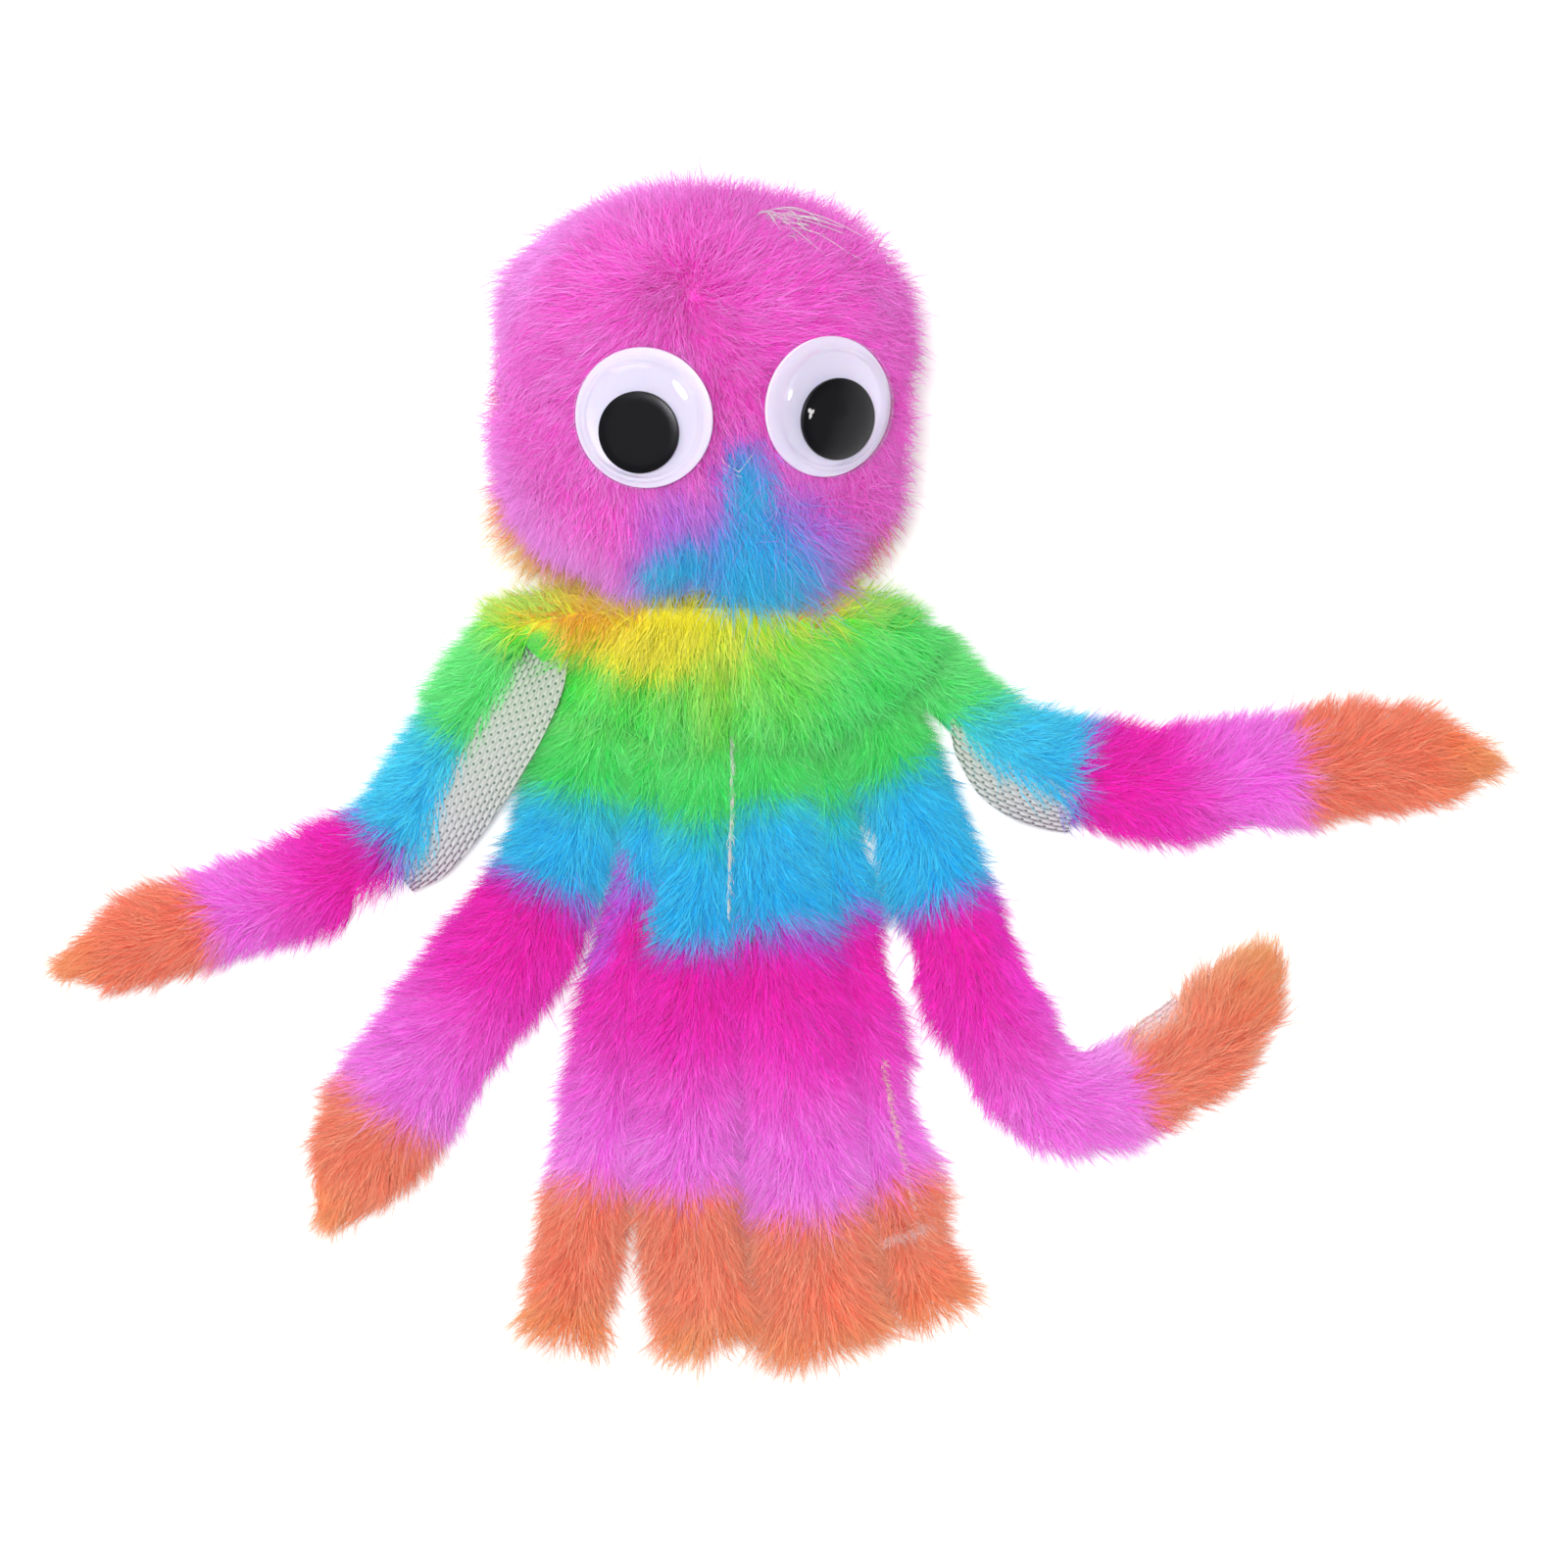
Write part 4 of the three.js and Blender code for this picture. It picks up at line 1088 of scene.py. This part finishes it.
corners = points[quads]
crossed = np.cross(corners[:, 2] - corners[:, 0], corners[:, 3] - corners[:, 1])
area = np.linalg.norm(crossed, axis=1) / 2
facing = unit(crossed)
weight = area * np.where(facing[:, 2] < -0.35, 0.1, 1.0)
amount = int(skirt_hairs * density)
chosen = random.choice(len(quads), amount, p=weight / weight.sum())
a, b = random.uniform(0, 1, (2, amount, 1))
roots = (corners[chosen, 0] * (1 - a) + corners[chosen, 1] * a) * (1 - b)
roots = roots + (corners[chosen, 3] * (1 - a) + corners[chosen, 2] * a) * b
out = facing[chosen]
x, y, z = (roots / mm).T
down = roots - np.array([1, -14, 0]) * mm
down[:, 2] = 0
down = unit(down)
down -= (down * out).sum(1)[:, None] * out
waves = drift(roots, 5 * mm, 77)
comb = down + 0.3 * waves + 0.2 * random.normal(size=(amount, 3))
lift = 0.5 + 0.15 * waves[:, 2:]
first = unit(comb * 0.95 + out * (lift + 0.15))
last = unit(comb * 1.3 + out * (lift - 0.45))
top = smooth(roots[:, 1], -31.6 * mm, -31 * mm)[:, None]
first = unit(first + top * np.array([0, 1.6, 0.5]))
last = unit(last + top * np.array([0, 0.5, 0.6]))
# fold marks the valleys between the ridges: it shortens their hairs, and further down it paints
# shade into them.
fold = (1 - on_ridges(roots, 0.11).clip(0, 1)) * smooth(-roots[:, 1], 33 * mm, 41 * mm)
lengths = skirt_hair_length * random.uniform(0.7, 1.1, amount) * (1 - 0.42 * fold)
radius = skirt_hair_radius * random.uniform(0.7, 1.25, amount)

# The pile is short under leg 1's bare strip.
under_strip = abs(x - np.interp(-y, [33, 46], [-21, -27.5])) < 2.9
lengths[under_strip & (y < -33.5) & (y > -47) & (z > 2)] = 0.4 * mm

# The ruff beside the tied neck stands up and outwards, and hairs across the front hide the tie.
side = np.sign(x) * smooth(abs(x), 7, 13)
level = np.ones(amount)
ruff = (y > -35) & (abs(side) > 0.05)
ruff = ruff & (random.uniform(0, 1, amount) < np.where(x < 0, 0.5, 0.22))
first[ruff] = strewn(np.stack([0.6 * side, level, level], 1), 0.2)[ruff]
last[ruff] = strewn(np.stack([0.9 * side, 0.45 * level, 0.3 * level], 1), 0.2)[ruff]
lengths[ruff] *= 1.05
tones = skirt_tone(roots, random)
across_top = (y > -33.2) & (abs(x) < 9) & (random.uniform(0, 1, amount) < 0.5)
first[across_top] = strewn(np.array([0, 0.9, 1.1]), 0.35)[across_top]
last[across_top] = strewn(np.array([0, 0.5, 0.9]), 0.35)[across_top]
lengths[across_top] *= 0.75
ruff_tone = np.interp(x, [-21, -16.5, -8, 10, 17, 21], [0.17, 0.06, 0.07, 0.03, 0.01, 0.2])
tones[ruff] = (ruff_tone + 0.012 * random.normal(size=amount))[ruff]
# Painted shade and light: hairs in the valleys are painted darker, as painted shade in the folds,
# and the ruff's hairs are painted paler, as painted light against the shadow of the head.
paler = 0.15 - 1.1 * fold + 0.6 * ruff
grown = hairs(roots, first, last, lengths, radius, tones, random, 0.6, 9, paler)
all_points, faces, chart = with_skin(points, quads, skirt_tone(points, random), grown)
skirt = piece("skirt_cloth", all_points, faces, chart, leg_pile, "skirt", len(quads))
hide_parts("leg_skirt")

# Eyes
# Two moulded eyes: a milky white back plate, a clear domed cap with a flange on it, and a loose
# black disc between them. A pad of hot glue holds each to the pile.


def facing_turn(facing):
    """The turn from straight up to an eye's facing."""
    return np.array(Vector((0, 0, 1)).rotation_difference(Vector(facing)).to_matrix())


def turned(name, profile, place, facing, material, body, sides=96):
    """A form turned about the eye's axis, from radius and height above the eye's back, in mm."""
    angle = np.arange(sides) * 2 * np.pi / sides
    radius, height = (np.array(profile) * mm).T
    level = np.repeat(height[:, None], sides, 1)
    points = np.stack([np.outer(radius, np.cos(angle)), np.outer(radius, np.sin(angle)), level], 2)
    points = points.reshape(-1, 3) @ facing_turn(facing).T + place
    made = piece(name, points, [ring_quads(len(profile), sides)], None, material, body)
    made.data.set_sharp_from_angle(angle=0.6)
    return made


plate_colours = linear(236, 222, 248), linear(246, 236, 253)
plate_material, shader = speckled("milky plastic", 260, 2, (0.26, 0.4), 0.02 * mm, *plate_colours)
shader.inputs["Subsurface Weight"].default_value = 0.3
shader.inputs["Subsurface Scale"].default_value = 0.002

disc_colours = linear(6, 5, 8), linear(14, 13, 18)
disc_material, shader = speckled("black disc", 900, 4, (0.26, 0.38), 0.01 * mm, *disc_colours)
shader.inputs["Specular IOR Level"].default_value = 0.3

glue_colours = (0.78, 0.76, 0.7), (0.9, 0.88, 0.84)
glue_material, _ = speckled("hot glue", 400, 2, (0.18, 0.34), 0.1 * mm, *glue_colours)

clear_material, nodes, links, shader = new_material("clear plastic", 0.04)
nodes.remove(shader)
see = node(nodes, "ShaderNodeBsdfTransparent", Color=(0.985, 0.98, 0.99, 1))
shine = node(nodes, "ShaderNodeBsdfGlossy", Color=(1, 1, 1, 1), Roughness=0.05)
slant = node(nodes, "ShaderNodeLayerWeight", Blend=0.5)
grazing = worked_out(nodes, links, "POWER", slant.outputs["Facing"], 4)
share = worked_out(nodes, links, "MULTIPLY_ADD", grazing, 0.5, 0.025)
both = nodes.new("ShaderNodeMixShader")
links.new(share, both.inputs["Fac"])
links.new(see.outputs[0], both.inputs[1])
links.new(shine.outputs[0], both.inputs[2])
links.new(both.outputs[0], nodes["Material Output"].inputs["Surface"])

roof = [(8.75 * np.cos(t), 3.75 + 1.0 * np.sin(t)) for t in np.linspace(0.12, np.pi / 2, 12)]
inner_roof = [(8.2 * np.cos(t), 3.3 + 0.9 * np.sin(t)) for t in np.linspace(np.pi / 2, 0.1, 12)]
flange = [
    (8.3, 0.95), (10.0, 0.95), (10.12, 1.1), (10.12, 1.5), (10.0, 1.63),
    (9.35, 1.65), (9.0, 1.72), (8.9, 2.0), (8.88, 3.6),
]
cap_profile = flange + roof + inner_roof + [(8.3, 3.2), (8.3, 0.95)]
plate_profile = [
    (0, 0.02), (9.75, 0.02), (10.05, 0.12), (10.12, 0.35), (10.05, 0.55),
    (9.9, 0.6), (8.6, 0.6), (8.3, 0.5), (0, 0.5),
]
disc_profile = [
    (0, 0), (5.7, 0), (5.86, 0.07), (5.9, 0.2), (5.9, 0.6),
    (5.85, 0.72), (5.7, 0.79), (4.5, 0.8), (0, 0.78),
]
for side in ("left", "right"):
    back, facing = eye_seats[side]
    plate = turned(f"{side}_eye_plate", plate_profile, back, facing, plate_material, "head")
    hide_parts(f"{side}_eye_back")
    cap = turned(f"{side}_eye_dome", cap_profile, back, facing, clear_material, "head")
    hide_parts(f"{side}_eye_cap")
    disc_back, _ = plate_frame(f"{side}_pupil")
    disc = turned(
        f"{side}_eye_disc", disc_profile, disc_back, facing, disc_material, f"{side}_pupil"
    )
    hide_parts(f"{side}_pupil")
    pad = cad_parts[f"{side}_glue_pad"]
    pad.data.materials.clear()
    pad.data.materials.append(glue_material)

# Glue strings and loose fibres
# Fine strings of glue between the eyes, a tangle of loose white fibres on the crown, a cut edge
# that shows white between two legs, the frayed end of the narrow leg, and a painted glint on the
# right pupil: a small white patch in place of a highlight.

crown = np.array([9.5, 24.5, 38])
wisps_short, wisps_all = 18, 26
# The painted glint on the right pupil: its number of sides, its middle and its height, in mm.
glint_sides, glint_middle, glint_height = 13, np.array([-4.6, 1.0]), 0.92

glue_paths = [
    spaced(np.array(points) * mm, 40)
    for points in (
        [(2.0, -8.6, 49.5), (3.6, -11.4, 49.8), (5.6, -12.6, 49.6), (7.6, -10, 49.4),
         (9.1, -6.4, 47.6)],
        [(1.4, -9.6, 49.2), (3.0, -11.9, 49.4), (4.6, -12.8, 49.3), (6.3, -13.4, 48.6)],
    )
]
glue_string = strands("glue_strings", glue_paths, 0.13 * mm, glue_material, "head")

random = np.random.default_rng(31)
wisps = []
for number in range(wisps_all):
    share = np.linspace(0, 1, 26)[:, None]
    heading = random.uniform(-0.5, 1.0)
    reach = random.uniform(3, 8) if number < wisps_short else random.uniform(9, 15)
    start = crown + random.normal(size=3) * [1.6, 1.0, 0.8]
    curl = unit(random.normal(size=(1, 3))) * random.uniform(0.4, 1.6)
    path = start + share * reach * np.array([np.cos(heading), -0.3 * np.sin(heading) - 0.25, -0.05])
    path = path + curl * np.sin(share * random.uniform(2, 7))
    path = path + [0, 0.4, 1.6] * np.sin(share * np.pi)
    wisps.append(path * mm)
loose = strands("crown_fibres", wisps, 0.06 * mm, thread_material, "head")

pink_colours = linear(244, 196, 192), linear(253, 226, 222)
pink_thread, _ = speckled("pink thread ends", 1500, 3, (0.6, 0.85), 0.1 * mm, *pink_colours)


def frayed(name, leg, distance, angle, out, length, seed, joint, material, lie=0.0):
    """Short ends of thread that stand out of a cut edge of the cloth, or lie along it."""
    random = np.random.default_rng(seed)
    roots, normals, forward, _ = leg.skin(distance, angle, 0.9 * mm)
    roots += normals * out
    count = len(roots)
    first = unit(normals + lie * forward + 0.5 * random.normal(size=(count, 3)))
    last = unit(forward * (1 + 2 * lie) + 0.6 * normals + 0.8 * random.normal(size=(count, 3)))
    lengths = length * random.uniform(0.5, 1.3, count)
    radius = 0.06 * mm * random.uniform(0.7, 1.2, count)
    points, quads, tips, _, _ = hairs(
        roots, first, last, lengths, radius, np.full(count, 0.5), random, 0.2, 5
    )
    made = piece(name, points, [quads, tips], None, material, None, 0)
    seam, before, after = joint
    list(leg.seam_span(seam))
    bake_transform(made)


random = np.random.default_rng(41)
leg_4, leg_6 = made_legs[3], made_legs[5]
cut_end = leg_6.length * 0.86
along_4, round_4 = random.uniform(-8 * mm, 26 * mm, 300), random.uniform(0.75, 0.79, 300)
along_end, round_end = cut_end + random.normal(size=420) * 0.4 * mm, random.uniform(0.1, 2.6, 420)
along_6, round_6 = random.uniform(50 * mm, cut_end, 380), random.uniform(0.75, 0.9, 380)
root_4, bend_6 = (0.0, "skirt", "leg_4_upper"), (leg_6.seams[1], "leg_6_middle", "leg_6_tip")
frayed(
    "leg_4_cut_edge", leg_4, along_4, round_4, 2.4 * mm, 1.8 * mm, 42, root_4, thread_material, 2.5
)
frayed("leg_6_frayed_end", leg_6, along_end, round_end, 2.1 * mm, 1.6 * mm, 43, bend_6, pink_thread)
frayed("leg_6_cut_edge", leg_6, along_6, round_6, 1.9 * mm, 1.4 * mm, 44, bend_6, pink_thread)

# A painted glint: a small raised white patch at the left edge of the right pupil, painted in place
# of a highlight on it.
glint_back, glint_facing = plate_frame("right_pupil")
around = np.linspace(0, 2 * np.pi, glint_sides + 1)[:-1]
uneven = 0.75 + 0.3 * np.sin(around * 3 + 0.6) + 0.16 * np.sin(around * 5)
glint_flat = np.stack([0.55 * uneven * np.cos(around), 0.95 * uneven * np.sin(around)], 1)
glint_edge = np.c_[glint_flat + glint_middle, np.full(glint_sides, 0.81)]
glint_points = np.concatenate([glint_edge, [[*glint_middle, glint_height]]]) * mm
glint_points = glint_points @ facing_turn(glint_facing).T + glint_back
fan = np.array([[k, (k + 1) % glint_sides, glint_sides] for k in range(glint_sides)])
painted_glint = piece("right_pupil_painted_glint", glint_points, [fan], None, thread_material, "right_pupil")

size = {
    "cad": [list(map(float, c)) for c in cad_box],
    "visual": [list(map(float, c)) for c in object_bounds()],
}
